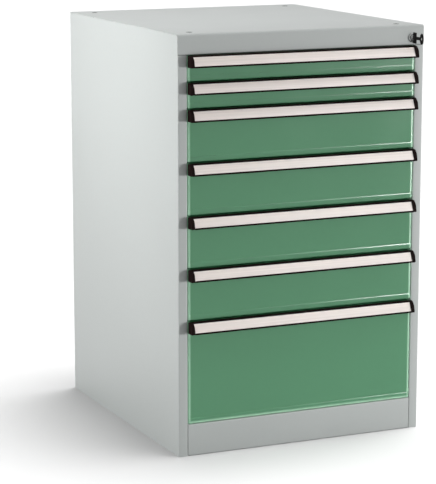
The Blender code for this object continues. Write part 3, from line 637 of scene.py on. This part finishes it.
def side_panel(side, sizes):
    """Side wall with the front post and the rear flange: an (x, y) path carried up to the header's
    foot on the post, and on the wall up under the top sheet, along an arc below its front bend."""
    corners = [(POST_EDGE, FACE_Y + FACE_DEPTH), (POST_EDGE, FACE_Y), (HALF_WIDTH, FACE_Y)]
    corners += [(HALF_WIDTH, REAR_Y), (HALF_WIDTH - sizes.rear_flange, REAR_Y)]
    path = rounded(corners, sizes.post_bend, FOLD_STEPS)

    # More points on the wall under the top's bend, and a seam where post and wall part in height
    split = FACE_Y + sizes.sheet + GAP
    bend_end = FACE_Y + sizes.top_bend
    added = np.linspace(FACE_Y + sizes.post_bend, bend_end, num=5)[1:]
    corner_end = int(np.argmax((path[:, 0] > HALF_WIDTH - WELD_DISTANCE) & (path[:, 1] > split)))
    path = np.insert(path, corner_end + 1, [(HALF_WIDTH, y) for y in added], axis=0)
    high_start = int(np.argmax((path[:, 0] > POST_EDGE + sizes.post_bend) & (path[:, 1] > split)))
    lines = np.stack((path, shifted(path, sizes.sheet)))
    before, after = lines[:, high_start - 1], lines[:, high_start]
    seam = before + (after - before) * (split - before[0, 1]) / (after[0, 1] - before[0, 1])
    path, inner = np.insert(lines, [high_start, high_start], seam[:, None], axis=1)

    # The post ends below the header, and the wall follows the inside of the top's bend
    low = HEADER_FOOT - GAP
    under = sizes.sheet + GAP
    run = np.clip(bend_end - path[:, 1], 0, sizes.top_bend - under)
    high = HEIGHT - sizes.top_bend + np.sqrt((sizes.top_bend - under) ** 2 - run**2)
    high[: high_start + 1] = low
    heights = np.array([np.zeros(len(path)), np.full(len(path), low), high])
    wall = sided(thick(upright(path, heights), upright(inner, heights)), side)

    def wear_and_highlight(x, y, _):
        outside, depth = HALF_WIDTH - np.abs(x), y - FACE_Y
        post = fold_wear(sizes.post_bend, np.abs(x) - POST_EDGE, depth)
        return np.maximum(post, fold_wear(sizes.post_bend, outside, np.minimum(depth, REAR_Y - y)))

    name = f"{side}_side"
    build(name, wall, "cabinet", f"{name}_panel", "housing_paint", sizes.edge, wear_and_highlight=wear_and_highlight)


def top_panel(sizes):
    """Top sheet, bent down as the header and folded back below it, with the fixing holes and the
    lock's hole: a flat pierced sheet of (x, distance along the section) rolled onto the section."""
    fold_end = (FACE_Y + FACE_DEPTH, HEADER_FOOT)
    corners = [(REAR_Y, HEIGHT), (FACE_Y, HEIGHT), (FACE_Y, HEADER_FOOT), fold_end]
    path = rounded(corners, (sizes.top_bend, sizes.post_bend), FOLD_STEPS)
    lengths = np.append(0, np.cumsum(np.linalg.norm(np.diff(path, axis=0), axis=1)))
    header_run = lengths[FOLD_STEPS + 1] + (HEIGHT - sizes.top_bend - LOCK_AXIS[2])
    holes = [(LOCK_AXIS[0], header_run, sizes.lock_body + GAP)]
    for x in (sizes.hole_side - HALF_WIDTH, HALF_WIDTH - sizes.hole_side):
        for run in (sizes.hole_end, REAR_Y - FACE_Y - sizes.hole_end):
            holes.append((x, run, sizes.hole_radius))
    inside = HALF_WIDTH - sizes.sheet - GAP
    across = [-HALF_WIDTH, -inside, inside, HALF_WIDTH]
    sheet = pierced(across, lengths, holes, margin=0.004, steps=8)

    # The flange that is folded back below the header runs between the side walls only
    middles = sheet.points[sheet.faces[0]].mean(1)
    fold_start = lengths[-1] - FACE_DEPTH + sizes.post_bend
    over_wall = (np.abs(middles[:, 0]) > inside) & (middles[:, 1] > fold_start)
    sheet.faces[0] = sheet.faces[0][~over_wall]

    def rolled(section):
        place = [np.interp(sheet.points[:, 1], lengths, axis) for axis in section.T]
        return Surface(np.column_stack((sheet.points[:, 0], *place)), *sheet.faces)

    wall = thick(rolled(path), rolled(shifted(path, sizes.sheet)))

    def wear_and_highlight(_, y, z):
        foot = fold_wear(sizes.post_bend, z - HEADER_FOOT, y - FACE_Y)
        return np.maximum(foot, fold_wear(sizes.top_bend, HEIGHT - z, y - FACE_Y))

    build("top_sheet", wall, "cabinet", "top_panel", "housing_paint", sizes.edge, wear_and_highlight=wear_and_highlight)


def back_panel(sizes):
    """Back sheet with its upright edges folded forwards: an (x, y) path carried straight up."""
    low, high = ends_of("back_panel")
    front = high[1] - sizes.back_edge
    corners = [(high[0], front), (high[0], high[1]), (low[0], high[1]), (low[0], front)]
    path = rounded(corners, sizes.post_bend, FOLD_STEPS)
    heights = np.array([[low[2]], [high[2]]])
    wall = thick(upright(path, heights), upright(shifted(path, sizes.sheet), heights))
    build("back_sheet", wall, "cabinet", "back_panel", "housing_paint", sizes.edge)


def plinth(sizes):
    """Front of the plinth, folded back above and below: a (y, z) path carried across."""
    low, high = ends_of("plinth_panel")
    corners = [(high[1], high[2]), (low[1], high[2]), (low[1], low[2]), (high[1], low[2])]
    path = rounded(corners, sizes.post_bend, FOLD_STEPS)
    across = (low[0], high[0])
    wall = thick(crosswise(path, across), crosswise(shifted(path, sizes.sheet), across))

    def wear_and_highlight(_, y, z):
        return fold_wear(sizes.post_bend, high[2] - z, y - low[1])

    build("plinth", wall, "cabinet", "plinth_panel", "housing_paint", sizes.edge, wear_and_highlight=wear_and_highlight)


def pan(low, high, bends, swell):
    """Folded pan, open behind. Its (y, z) section has a top and a foot bend, and between them the
    foot stands proud by a depth that fades out upwards over a run: depth * (3 t^2 - 2 t^3).
    Across X each end rolls over a side bend: x = half - r (1 - cos a), inset = r (1 - sin a).
    Lines at 2 side bends, and at 2 and 3 foot bends, let the painted highlight band fade out."""
    side_bend, top_bend, foot_bend = bends
    depth, height, run = swell
    corners = [(high[1], low[2]), (low[1], low[2]), (low[1], high[2]), (high[1], high[2])]
    section = rounded(corners, (foot_bend, top_bend), PAN_STEPS)
    heights = np.append((2 * foot_bend, 3 * foot_bend), np.linspace(height, height + run, num=12))
    flank = np.stack((np.full(len(heights), low[1]), low[2] + heights), axis=1)
    section = np.insert(section, PAN_STEPS + 2, flank, axis=0)
    share = np.clip((height + run - (section[:, 1] - low[2])) / run, 0, 1)
    share *= np.clip((section[:, 1] - low[2]) / foot_bend, 0, 1)
    section[:, 0] -= depth * share**2 * (3 - 2 * share)
    inset = shifted(section, -side_bend)
    angles = np.linspace(0, math.pi / 2, num=5)
    across = high[0] - np.append(side_bend * (1 - np.cos(angles)), 2 * side_bend)
    shares = np.append(1 - np.sin(angles), 0)
    shares = np.append(shares, shares[::-1])[:, None, None]
    across = np.append(-across, across[::-1])
    skin = crosswise(section + (inset - section) * shares, across)

    # Each flat side is a ladder of quads between the lower and the upper half of the section
    count = len(section)
    rungs = np.arange(count // 2 - 1)
    wall = np.stack((rungs, rungs + 1, count - 2 - rungs, count - 1 - rungs), axis=1)
    last = (len(across) - 1) * count
    return Surface(skin.points, *skin.faces, wall, wall[:, ::-1] + last)


def drawer_front(drawer, sizes):
    """Green front of a drawer: a pan and its inner skin, one sheet smaller. A pale highlight is
    painted into its enamel along both sides, and on the lowest drawer along its foot: gain (1 -
    distance / band)."""
    low, high = ends_of(f"{drawer}_front")
    high[0] = POST_EDGE - sizes.front_gap
    bends = np.array((sizes.side_bend, sizes.front_top_bend, sizes.foot_bend))
    swell = (sizes.swell, sizes.swell_height, sizes.swell_run)
    inner_low = low + sizes.sheet
    inner_high = high - (sizes.sheet, 0, sizes.sheet)
    inner = pan(inner_low, inner_high, bends - sizes.sheet, (0, swell[1] - sizes.sheet, swell[2]))
    wall = thick(pan(low, high, bends, swell), inner)

    # Painted edge highlight: full at the edge, fading out over the band
    def wear_and_highlight(x, y, z):
        inset = high[0] - np.abs(x)
        if low[2] < PLINTH_TOP + sizes.front_top_bend:
            inset = np.minimum(inset, z - low[2])
        return np.clip(EDGE_HIGHLIGHT_GAIN * (1 - inset / sizes.wear_and_highlight_band), 0, 1)

    node = f"{drawer}_front"
    build(f"{drawer}_face", wall, drawer, node, "front_paint", sizes.edge, wear_and_highlight=wear_and_highlight)


def handle_lines(drawer, sizes):
    """Corners of a handle's section, the way down its slanted face and the way into it. The ledge
    is level with the front's top."""
    seat = ends_of(f"{drawer}_handle")[1][1]
    top = ends_of(f"{drawer}_front")[1][2]
    crest = np.array((seat - sizes.handle_crest, top))
    foot = np.array((seat - sizes.handle_reach, top - sizes.handle_height))
    down = (foot - crest) / np.linalg.norm(foot - crest)
    return seat, top, crest, foot, down, np.array((-down[1], down[0]))


def grip(drawer, sizes):
    """Black handle profile: a back plate, a ledge and a slanted face with a recess. Its section is
    a line of corners, each with a small radius of its own, carried across the drawer."""
    seat, top, crest, foot, down, inwards = handle_lines(drawer, sizes)
    bottom = foot[1]
    wall = sizes.handle_wall
    level = np.array(((wall + sizes.recess) / inwards[0], 0))
    upper = crest + down * sizes.top_rim
    lower = foot - down * sizes.foot_rim
    recess = inwards * sizes.recess
    ceiling = crest + (foot - crest) * wall / sizes.handle_height + level
    section = [(seat, bottom), (seat, top), crest, upper, upper + recess, lower + recess, lower]
    section += [foot, foot + level, ceiling, (seat - wall, top - wall), (seat - wall, bottom)]
    crisp, soft, wide = wall / 8, wall / 4, wall / 2
    radii = (crisp, crisp, wide, crisp, crisp, crisp, crisp, soft, soft, wide, soft, crisp)
    reach = POST_EDGE - sizes.front_gap - sizes.cap_width
    profile = bar(rounded(section, radii, steps=4, closed=True), GAP - reach, reach - GAP)
    build(f"{drawer}_grip", profile, drawer, f"{drawer}_handle", "handle_black")


def grip_caps(drawer, sizes):
    """End caps of a handle: a bulging outline with a radius at each corner, one cap width deep."""
    seat, top, crest, foot, _, _ = handle_lines(drawer, sizes)
    reach = POST_EDGE - sizes.front_gap
    cheek = (seat - sizes.cheek_reach, top - sizes.cheek_drop)
    corners = [(seat, foot[1]), (seat, top), crest, cheek, foot]
    radii = (2 * sizes.edge, sizes.cap_bend, sizes.cap_crest, sizes.cheek_bend, sizes.cap_bend)
    cap = bar(rounded(corners, radii, steps=6, closed=True), reach - sizes.cap_width, reach)
    caps = cap + cap.mirrored()
    build(f"{drawer}_grip_caps", caps, drawer, "", "handle_black", 2 * sizes.edge)


def label(drawer, sizes):
    """Pale strip in a handle's recess: a plate whose face is crowned by 4 c t (1 - t)."""
    _, _, crest, foot, down, inwards = handle_lines(drawer, sizes)
    reach = POST_EDGE - sizes.front_gap - sizes.cap_width - GAP
    upper = crest + down * (sizes.top_rim + GAP)
    lower = foot - down * (sizes.foot_rim + GAP)
    shares = np.linspace(0, 1, num=9)[:, None]
    run = upper + (lower - upper) * shares
    crown = 4 * GAP * shares * (1 - shares)
    face = run + inwards * (sizes.recess / 3 - crown)
    back = run[::-1] + inwards * (sizes.recess - GAP / 2)
    plate = bar(np.vstack((face, back)), -reach, reach)
    build(f"{drawer}_label", plate, drawer, f"{drawer}_strip", "label_strip", sizes.edge / 2)


def lock_case(sizes):
    """Lock's body with its collar: a (radius, y) profile turned round the lock's axis."""
    front, rear = LOCK_LOW[1], LOCK_HIGH[1]
    radius = LOCK_HIGH[0] - LOCK_AXIS[0]
    edge = sizes.edge
    chamfer = sizes.collar_chamfer
    profile = [
        (sizes.lock_bore, front + edge),
        (sizes.lock_bore + edge, front),
        (radius - chamfer - edge, front),
        (radius - chamfer, front + edge / 4),
        (radius - edge / 4, front + chamfer),
        (radius, front + chamfer + edge),
        (radius, FACE_Y - GAP),
        (sizes.lock_body, FACE_Y - GAP),
        (sizes.lock_body, rear),
        (sizes.lock_bore, rear),
        (sizes.lock_bore, front + edge),
    ]
    case = turned(profile, LOCK_AXIS * (1, 0, 1), sides=72)
    build("lock_body", case, "cabinet", "lock_case", "lock_nickel")


def key(sizes):
    """Flat key: its blade, shoulder and neck are one outline, and its oval bow is a ring between
    an ellipse (a cos t, b sin t) and the round hole, both one plate thick across X."""
    low, high = ends_of("lock_key")
    z = LOCK_AXIS[2]
    front, home = low[1], high[1]
    neck, tall = sizes.key_blade / 2, (high[2] - low[2]) / 2
    rear = home - sizes.key_blade_length - GAP
    shoulder = rear - sizes.key_shoulder
    middle = front + sizes.key_bow / 2
    joint = middle + sizes.key_bow / 2 * math.sqrt(1 - (neck / tall) ** 2)
    edge = 2 * sizes.edge
    upper = [(home, neck - edge), (home - 2 * edge, neck), (rear, neck), (rear, tall)]
    upper += [(shoulder, tall), (shoulder, neck), (joint, neck)]
    outline = np.array(upper + [(y, -height) for y, height in reversed(upper)]) + (0, z)
    shank = bar(outline, low[0], high[0])

    angles = np.linspace(0, math.tau, num=64, endpoint=False)[:, None]
    insets = np.array((edge, 0, 0, edge, -edge, 0, 0, -edge, edge))
    outer = np.array((1, 1, 1, 1, 0, 0, 0, 0, 1))
    over = np.array((low[0], low[0] + edge, high[0] - edge, high[0]))
    across = np.concatenate((over, over[::-1], over[:1]))
    forwards = np.where(outer, sizes.key_bow / 2, sizes.key_hole) - insets
    upwards = np.where(outer, tall, sizes.key_hole) - insets
    rings = (across, middle + forwards * np.cos(angles), z + upwards * np.sin(angles))
    bow = grid(np.stack(np.broadcast_arrays(*rings), axis=-1), closed=True)
    build("key", shank + bow, "lock_key", "lock_key", "key_black", sizes.edge)


def weld_nut(corner, sizes):
    """Hexagonal nut with a collar that fills its fixing hole: a profile turned round an upright
    axis, whose outer points lie on a hexagon and whose bore has a thread: r - h where
    sin(2 pi z / pitch) > 0."""
    node = f"fixing_nut_{corner}"
    low, high = ends_of(node)
    bottom, top = low[2], high[2]
    middle = (low + high)[:2] / 2
    radius = (high[0] - low[0]) / 2
    bore, chamfer = sizes.nut_bore, sizes.nut_chamfer
    depths = np.linspace(top - chamfer, bottom + chamfer, num=41)
    thread = bore - chamfer / 2 * (np.sin((depths - bottom) * math.tau / sizes.nut_pitch) > 0)
    flat, rim = radius - 2 * chamfer, HEIGHT - GAP / 3
    profile = [(bore + chamfer, bottom, 0), (flat, bottom, 0), (radius, bottom + chamfer, 1)]
    profile += [(radius, top - chamfer, 1), (flat, top, 0), (sizes.nut_collar, top, 0)]
    profile += [(sizes.nut_collar, rim, 0), (bore + GAP, rim, 0)]
    profile += [(ring, depth, 0) for ring, depth in zip(thread, depths)]
    nut = turned(profile + profile[:1], (0, 0, 0), sides=48, corners=6)
    nut = nut.mapped(lambda points: points[:, (0, 2, 1)] + (*middle, 0))
    # The near-black finish makes each fixing hole read dark: painted shade in the hole
    build(f"weld_nut_{corner}", nut, "cabinet", node, "zinc_steel", finish="black_steel")


def tray(low, high, sizes):
    """Drawer box: rings of a rounded rectangle, whose inset and height follow a profile across the
    floor, up the wall and in over the rim, and the same profile one sheet further in."""
    corners = [(high[1] - low[1], low[2]), (0, low[2]), (0, high[2]), (sizes.box_rim, high[2])]
    profile = rounded(corners, (sizes.box_bend, sizes.box_sheet * RIM_FOLD), steps=6)
    half = (high[:2] - low[:2]) / 2
    middle = (high[:2] + low[:2]) / 2
    profile[0, 0] = half.min()

    def rings(section):
        inset, height = section.T
        angles = np.linspace(0, math.pi / 2, num=7) + np.arange(4)[:, None] * math.pi / 2
        rays = np.stack((np.cos(angles), np.sin(angles)), axis=-1).reshape(-1, 1, 2)
        quarters = ((1, 1), (-1, 1), (-1, -1), (1, -1))
        signs = np.repeat(quarters, angles.shape[1], axis=0)[:, None]
        core = half - np.maximum(inset, sizes.box_bend)[:, None]
        place = middle + signs * core + rays * np.maximum(sizes.box_bend - inset, 0)[:, None]
        return grid(raised(place, height), closed=True)

    return thick(rings(profile), rings(shifted(profile, -sizes.box_sheet)))


def rail(mouth, back, middle, sizes):
    """Lipped channel: an (x, z) outline with rounded folds, whose opening faces its mouth."""
    sheet = math.copysign(sizes.rail_sheet, back - mouth)
    half = sizes.rail_height / 2
    tip = half - sizes.rail_sheet - sizes.rail_lip
    upper = [(back, half), (mouth, half), (mouth, tip)]
    corners = [(x, -height) for x, height in reversed(upper)] + upper
    path = rounded(corners, sizes.rail_sheet * RAIL_FOLD, steps=5)
    return np.vstack((path, shifted(path, sheet)[::-1])) + (0, middle)


def lengthwise(outline, low, high):
    """Closed (x, z) outline carried along Y from low to high."""
    return bar(outline, low, high).mapped(swung)


def drawer_box(drawer, sizes):
    """Drawer box with its two rails and the catch for the locking bar: a tray, a rail's outline
    carried along both of its sides, and a catch whose rounded (x, y) outline is carried up."""
    low, high = ends_of(f"{drawer}_box")
    mouth = high[0]
    back = mouth - sizes.rail_width
    middle = low[2] + sizes.rail_rise + sizes.rail_height / 2
    shape = tray(np.array((-back, low[1], low[2])), np.array((back, high[1], high[2])), sizes)
    channel = lengthwise(rail(mouth, back + GAP / 4, middle, sizes), low[1], high[1])
    shape = shape + channel + channel.mirrored()
    near, far = catch_ends(drawer, back, middle + sizes.rail_height / 2 + GAP)
    corners = [near[:2], (far[0], near[1]), far[:2], (near[0], far[1])]
    outline = rounded(corners, sizes.box_sheet / 2, steps=4, closed=True)
    tab = bar(outline, near[2], far[2]).mapped(stood)
    build(f"{drawer}_tray", shape + tab, drawer, f"{drawer}_box", "box_paint")


def points_of(node):
    """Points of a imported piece."""
    mesh = frame["nodes"][node].data
    points = np.zeros(len(mesh.vertices) * 3)
    mesh.vertices.foreach_get("co", points)
    return points.reshape(-1, 3)


def catch_ends(drawer, wall, above):
    """Lowest and highest corner of a drawer's catch, which stands out from the box's right wall
    above its rail."""
    points = points_of(f"{drawer}_box")
    found = points[(points[:, 0] > wall + GAP) & (points[:, 2] > above)]
    return np.array((wall - GAP, *found.min(0)[1:])), found.max(0)


def runner(drawer, side, sizes):
    """Moving bar of a runner with its four rollers: a flat bar with round ends along Y, and for
    each roller a (radius, x) profile with a dished face, turned round its axle."""
    node = f"{drawer}_runner_{side}"
    low, high = ends_of(node)
    near, far = sorted((abs(low[0]), abs(high[0])))
    reach = (far - near - sizes.bar_sheet) / 2
    inner, outer = near + reach, near + reach + sizes.bar_sheet
    middle = (low[2] + high[2]) / 2
    half = sizes.bar_height / 2
    corners = [(y, middle - half) for y in (low[1], high[1])]
    corners += [(y, middle + half) for y in (high[1], low[1])]
    shape = bar(rounded(corners, sizes.bar_height / 5, steps=6, closed=True), inner, outer)
    axle_end = reach - sizes.roller_width
    lip = sizes.roller_width / 8
    dish = reach - lip * 1.2
    profile = [
        (0, -GAP),
        (sizes.axle, -GAP),
        (sizes.axle, axle_end),
        (sizes.roller - lip, axle_end),
        (sizes.roller, axle_end + lip),
        (sizes.roller, reach - lip),
        (sizes.roller - lip, reach),
        (sizes.roller * 0.62, reach),
        (sizes.roller * 0.55, dish),
        (sizes.axle * 1.1, dish),
        (sizes.axle * 0.9, reach - lip * 0.4),
        (0, reach - lip * 0.2),
    ]
    wheel = turned(profile, (0, 0, 0), sides=40).mapped(swung)

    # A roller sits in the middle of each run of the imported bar's points beyond the flat bar
    points = points_of(node)
    out = np.abs(points[:, 0])
    for face, outwards, beyond in ((outer, 1, out > outer + GAP), (inner, -1, out < inner - GAP)):
        ys = np.sort(points[beyond, 1])
        for run in np.split(ys, np.flatnonzero(np.diff(ys) > 2 * sizes.roller) + 1):
            place = (face, (run[0] + run[-1]) / 2, middle)
            shape = shape + Surface(wheel.points * (outwards, 1, 1) + place, *wheel.faces)
    build(f"{node}_bar", sided(shape, side), f"{drawer}_runners", node, "zinc_steel")


def rack(side, sizes):
    """Two channels, each an (x, y) outline carried up, with the fixed rail of every drawer, an
    (x, z) outline carried from front to back."""
    node = f"{side}_runner_rack"
    low, high = ends_of(node)
    mouth, wall = sorted((abs(low[0]), abs(high[0])))
    back = mouth + sizes.rail_width
    web = back - GAP
    sheet = sizes.rail_sheet
    shape = Surface(np.zeros((0, 3)))
    for front in (low[1], high[1] - sizes.upright):
        rear = front + sizes.upright
        corners = [(wall, rear), (web, rear), (web, front), (wall, front)]
        path = rounded(corners, sheet * UPRIGHT_FOLD, steps=5)
        outline = np.vstack((path, shifted(path, sheet)[::-1]))
        shape = shape + bar(outline, low[2], high[2]).mapped(stood)
    for drawer in DRAWERS:
        box_low, _ = ends_of(f"{drawer}_box")
        middle = box_low[2] + sizes.rail_rise + sizes.rail_height / 2
        shape = shape + lengthwise(rail(mouth, back, middle, sizes), low[1], high[1])
    build(f"{side}_rack", sided(shape, side), "cabinet", node, "zinc_steel")


def dress_nodes():
    """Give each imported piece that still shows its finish. The lock's plug matches its collar."""
    materials = finishes()
    for part in frame["record"]["subparts"]:
        node = part["node"]
        finish = "lock_nickel" if node == "lock_plug" else part["material_slot"]
        mesh = frame["nodes"][node].data
        mesh.materials.clear()
        mesh.materials.append(materials[finish])


# Studio

# The camera's values are fitted to the body's corners and fixing holes in the photograph
CAMERA_PLACE = (-1.74505, FACE_Y - 3.48719, 1.14585)
CAMERA_YAW = math.radians(24.22)
CAMERA_PITCH = math.radians(10.906)
CAMERA_LENS = 154.7
SENSOR_WIDTH = 36
CAMERA_SIGHT = 100

FLOOR_REACH = 30
FLOOR_ROUGHNESS = 0.9
FLOOR_LIFT = 0.02  # glow of the floor where the camera sees it
FLOOR_BOUNCE = 0.25  # share of its colour with which the floor lights the cabinet
AMBIENT = 0.2

# Name, place that it shines from, power, width in degrees, and whether it is for the floor only
# (INCLUDE) or for all but the floor (EXCLUDE)
SUNS = (
    ("key_sun", (0.35, -0.65, 4.0), 0.82, 30, "EXCLUDE"),
    ("floor_sun", (0.9, 0.02, 4.0), 4.45, 40, "INCLUDE"),
)

# Name, place, aimed height, power in watts, width, height, and spread in degrees. The glint is on
# the fronts only and the sheen on the strips only, and neither lights them otherwise.
FILL_LAMPS = (
    ("left_upper", (-1.9, 0.3, 1.72), 0.68, 1.3, 0.5, 0.5, 40),
    ("left_broad", (-3.0, 0.0, 0.1), 0.1, 43, 1.6, 1.0, 160),
    ("front_right", (3.4, -3.1, 0.32), 0.06, 11.4, 1.2, 0.6, 60),
    ("rear_soft", (1.2, 4.2, 0.7), 0.4, 22, 1.5, 1.5, 160),
    ("glint", (1.45, -2.26, 1.18), 0.45, 22, 0.16, 0.65, 160),
    ("sheen", (1.3, -2.0, 1.85), 0.45, 36, 0.6, 0.9, 160),
)


def camera():
    """Camera at the photographed angle."""
    data = bpy.data.cameras.new("camera")
    data.sensor_width = SENSOR_WIDTH
    data.lens = CAMERA_LENS
    data.clip_end = CAMERA_SIGHT
    obj = placed("camera", data)
    obj.location = CAMERA_PLACE
    obj.rotation_euler = Euler((math.pi / 2 - CAMERA_PITCH, 0, -CAMERA_YAW))
    bpy.context.scene.camera = obj


def lamp(name, kind, place, aim, power, **settings):
    """Lamp at a place, turned towards the middle of the cabinet at a height."""
    data = bpy.data.lights.new(name, kind)
    data.energy = power
    for setting, value in settings.items():
        setattr(data, setting, value)
    obj = placed(name, data)
    obj.location = place
    away = obj.location - Vector((0, 0, aim))
    obj.rotation_euler = away.to_track_quat("Z", "Y").to_euler()
    return obj


def linked(name, objects, state):
    """Collection of the only objects that a lamp's link is for (INCLUDE), or of those that it
    passes over (EXCLUDE)."""
    group = bpy.data.collections.new(name)
    for obj in objects:
        group.objects.link(obj)
    for entry in group.collection_objects:
        entry.light_linking.link_state = state
    return group


def lit(source, objects, state):
    """Let a lamp light only some objects (INCLUDE), or all but those objects (EXCLUDE)."""
    source.light_linking.receiver_collection = linked(f"{source.name}_receivers", objects, state)


def floor(tone):
    """Pale studio floor. It shows as white where nothing shades it, and lights the cabinet less
    than such a floor would."""
    mesh = bpy.data.meshes.new("floor")
    corners = [(-FLOOR_REACH, -FLOOR_REACH, 0), (FLOOR_REACH, -FLOOR_REACH, 0)]
    corners += [(FLOOR_REACH, FLOOR_REACH, 0), (-FLOOR_REACH, FLOOR_REACH, 0)]
    mesh.from_pydata(corners, [], [(0, 1, 2, 3)])
    obj = placed("floor", mesh)
    finish = Finish("studio_floor", FLOOR_ROUGHNESS, specular=0.0)
    seen = finish.seen()
    finish.set(Base_Color=finish.mix(seen, shaded(tone, FLOOR_BOUNCE), tone))
    finish.set(Emission_Color=finish.mix(seen, (0, 0, 0), (1, 1, 1)), Emission_Strength=FLOOR_LIFT)
    mesh.materials.append(finish.material)
    return obj


def world():
    """Even light from all round, which the camera and shiny surfaces see as white."""
    data = bpy.data.worlds.new("studio")
    bpy.context.scene.world = data
    nodes = Nodes(data)
    background = data.node_tree.nodes["Background"]
    nodes.feed(background.inputs["Color"], (1, 1, 1))
    nodes.feed(background.inputs["Strength"], nodes.seen() * (1 - AMBIENT) + AMBIENT)


# Operators, one for each piece or group of like pieces


class CABINET_OT_housing(bpy.types.Operator):
    """Build the side panels, the top with its header, the back and the plinth"""

    bl_idname = "cabinet.housing"
    bl_label = "Housing"

    def execute(self, context):
        sizes = context.scene.cabinet_sizes
        side_panel("left", sizes)
        side_panel("right", sizes)
        top_panel(sizes)
        back_panel(sizes)
        plinth(sizes)
        return {"FINISHED"}


class CABINET_OT_fronts(bpy.types.Operator):
    """Build the green front of every drawer"""

    bl_idname = "cabinet.fronts"
    bl_label = "Drawer fronts"

    def execute(self, context):
        for drawer in DRAWERS:
            drawer_front(drawer, context.scene.cabinet_sizes)
        return {"FINISHED"}


class CABINET_OT_handles(bpy.types.Operator):
    """Build every drawer's handle with its end caps and its strip"""

    bl_idname = "cabinet.handles"
    bl_label = "Handles"

    def execute(self, context):
        for drawer in DRAWERS:
            for piece in (grip, grip_caps, label):
                piece(drawer, context.scene.cabinet_sizes)
        return {"FINISHED"}


class CABINET_OT_lock(bpy.types.Operator):
    """Build the lock's collar and its key"""

    bl_idname = "cabinet.lock"
    bl_label = "Lock and key"

    def execute(self, context):
        lock_case(context.scene.cabinet_sizes)
        key(context.scene.cabinet_sizes)
        return {"FINISHED"}


class CABINET_OT_boxes(bpy.types.Operator):
    """Build every drawer's box with its rails and its catch"""

    bl_idname = "cabinet.boxes"
    bl_label = "Drawer boxes"

    def execute(self, context):
        for drawer in DRAWERS:
            drawer_box(drawer, context.scene.cabinet_sizes)
        return {"FINISHED"}


class CABINET_OT_runners(bpy.types.Operator):
    """Build the racks with their fixed rails, and the moving bars with their rollers"""

    bl_idname = "cabinet.runners"
    bl_label = "Runners"

    def execute(self, context):
        for side in ("left", "right"):
            rack(side, context.scene.cabinet_sizes)
            for drawer in DRAWERS:
                runner(drawer, side, context.scene.cabinet_sizes)
        return {"FINISHED"}


class CABINET_OT_nuts(bpy.types.Operator):
    """Build the weld nuts under the fixing holes"""

    bl_idname = "cabinet.nuts"
    bl_label = "Weld nuts"

    def execute(self, context):
        for corner in ("front_left", "front_right", "rear_left", "rear_right"):
            weld_nut(corner, context.scene.cabinet_sizes)
        return {"FINISHED"}


class CABINET_OT_inner(bpy.types.Operator):
    """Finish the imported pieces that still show"""

    bl_idname = "cabinet.inner"
    bl_label = "Inner pieces"

    def execute(self, context):
        dress_nodes()
        return {"FINISHED"}


class CABINET_OT_stage(bpy.types.Operator):
    """Set up the floor, the lamps, the world and the camera"""

    bl_idname = "cabinet.stage"
    bl_label = "Studio"

    def execute(self, context):
        context.scene.view_settings.view_transform = "Standard"
        camera()
        world()
        ground = floor(context.scene.cabinet_colours.floor)
        for name, place, power, width, link in SUNS:
            lit(lamp(name, "SUN", place, 0, power, angle=math.radians(width)), [ground], link)
        objects = bpy.data.objects
        shine_on = {
            "glint": [objects[f"{drawer}_face"] for drawer in DRAWERS],
            "sheen": [objects[f"{drawer}_label"] for drawer in DRAWERS],
        }
        for name, place, aim, power, width, tall, spread in FILL_LAMPS:
            shape = {"shape": "RECTANGLE", "size": width, "size_y": tall}
            source = lamp(name, "AREA", place, aim, power, spread=math.radians(spread), **shape)
            if name in shine_on:
                source.visible_diffuse = False
                lit(source, shine_on[name], "INCLUDE")
            else:
                lit(source, [ground], "EXCLUDE")
        objects["rear_soft"].visible_glossy = False
        shadeless = linked("key_shadow", [objects["key"]], "EXCLUDE")
        objects["front_right"].light_linking.blocker_collection = shadeless
        return {"FINISHED"}


STEPS = (
    CABINET_OT_housing,
    CABINET_OT_fronts,
    CABINET_OT_handles,
    CABINET_OT_lock,
    CABINET_OT_boxes,
    CABINET_OT_runners,
    CABINET_OT_nuts,
    CABINET_OT_inner,
    CABINET_OT_stage,
)


class CABINET_PT_build(bpy.types.Panel):
    """Lists the steps of the cabinet"""

    bl_label = "Drawer Cabinet"
    bl_idname = "CABINET_PT_build"
    bl_space_type = "VIEW_3D"
    bl_region_type = "UI"
    bl_category = "Cabinet"

    def draw(self, context):
        for step in STEPS:
            self.layout.operator(step.bl_idname)


CLASSES = (CabinetSizes, CabinetColours, *STEPS, CABINET_PT_build)


def register():
    for entry in CLASSES:
        bpy.utils.register_class(entry)
    bpy.types.Scene.cabinet_sizes = bpy.props.PointerProperty(type=CabinetSizes)
    bpy.types.Scene.cabinet_colours = bpy.props.PointerProperty(type=CabinetColours)


def unregister():
    del bpy.types.Scene.cabinet_colours
    del bpy.types.Scene.cabinet_sizes
    for entry in reversed(CLASSES):
        bpy.utils.unregister_class(entry)


def main():
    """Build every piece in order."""
    register()
    bpy.ops.cabinet.housing()
    bpy.ops.cabinet.fronts()
    bpy.ops.cabinet.handles()
    bpy.ops.cabinet.lock()
    bpy.ops.cabinet.boxes()
    bpy.ops.cabinet.runners()
    bpy.ops.cabinet.nuts()
    bpy.ops.cabinet.inner()
    bpy.ops.cabinet.stage()


if __name__ == "__main__":
    main()
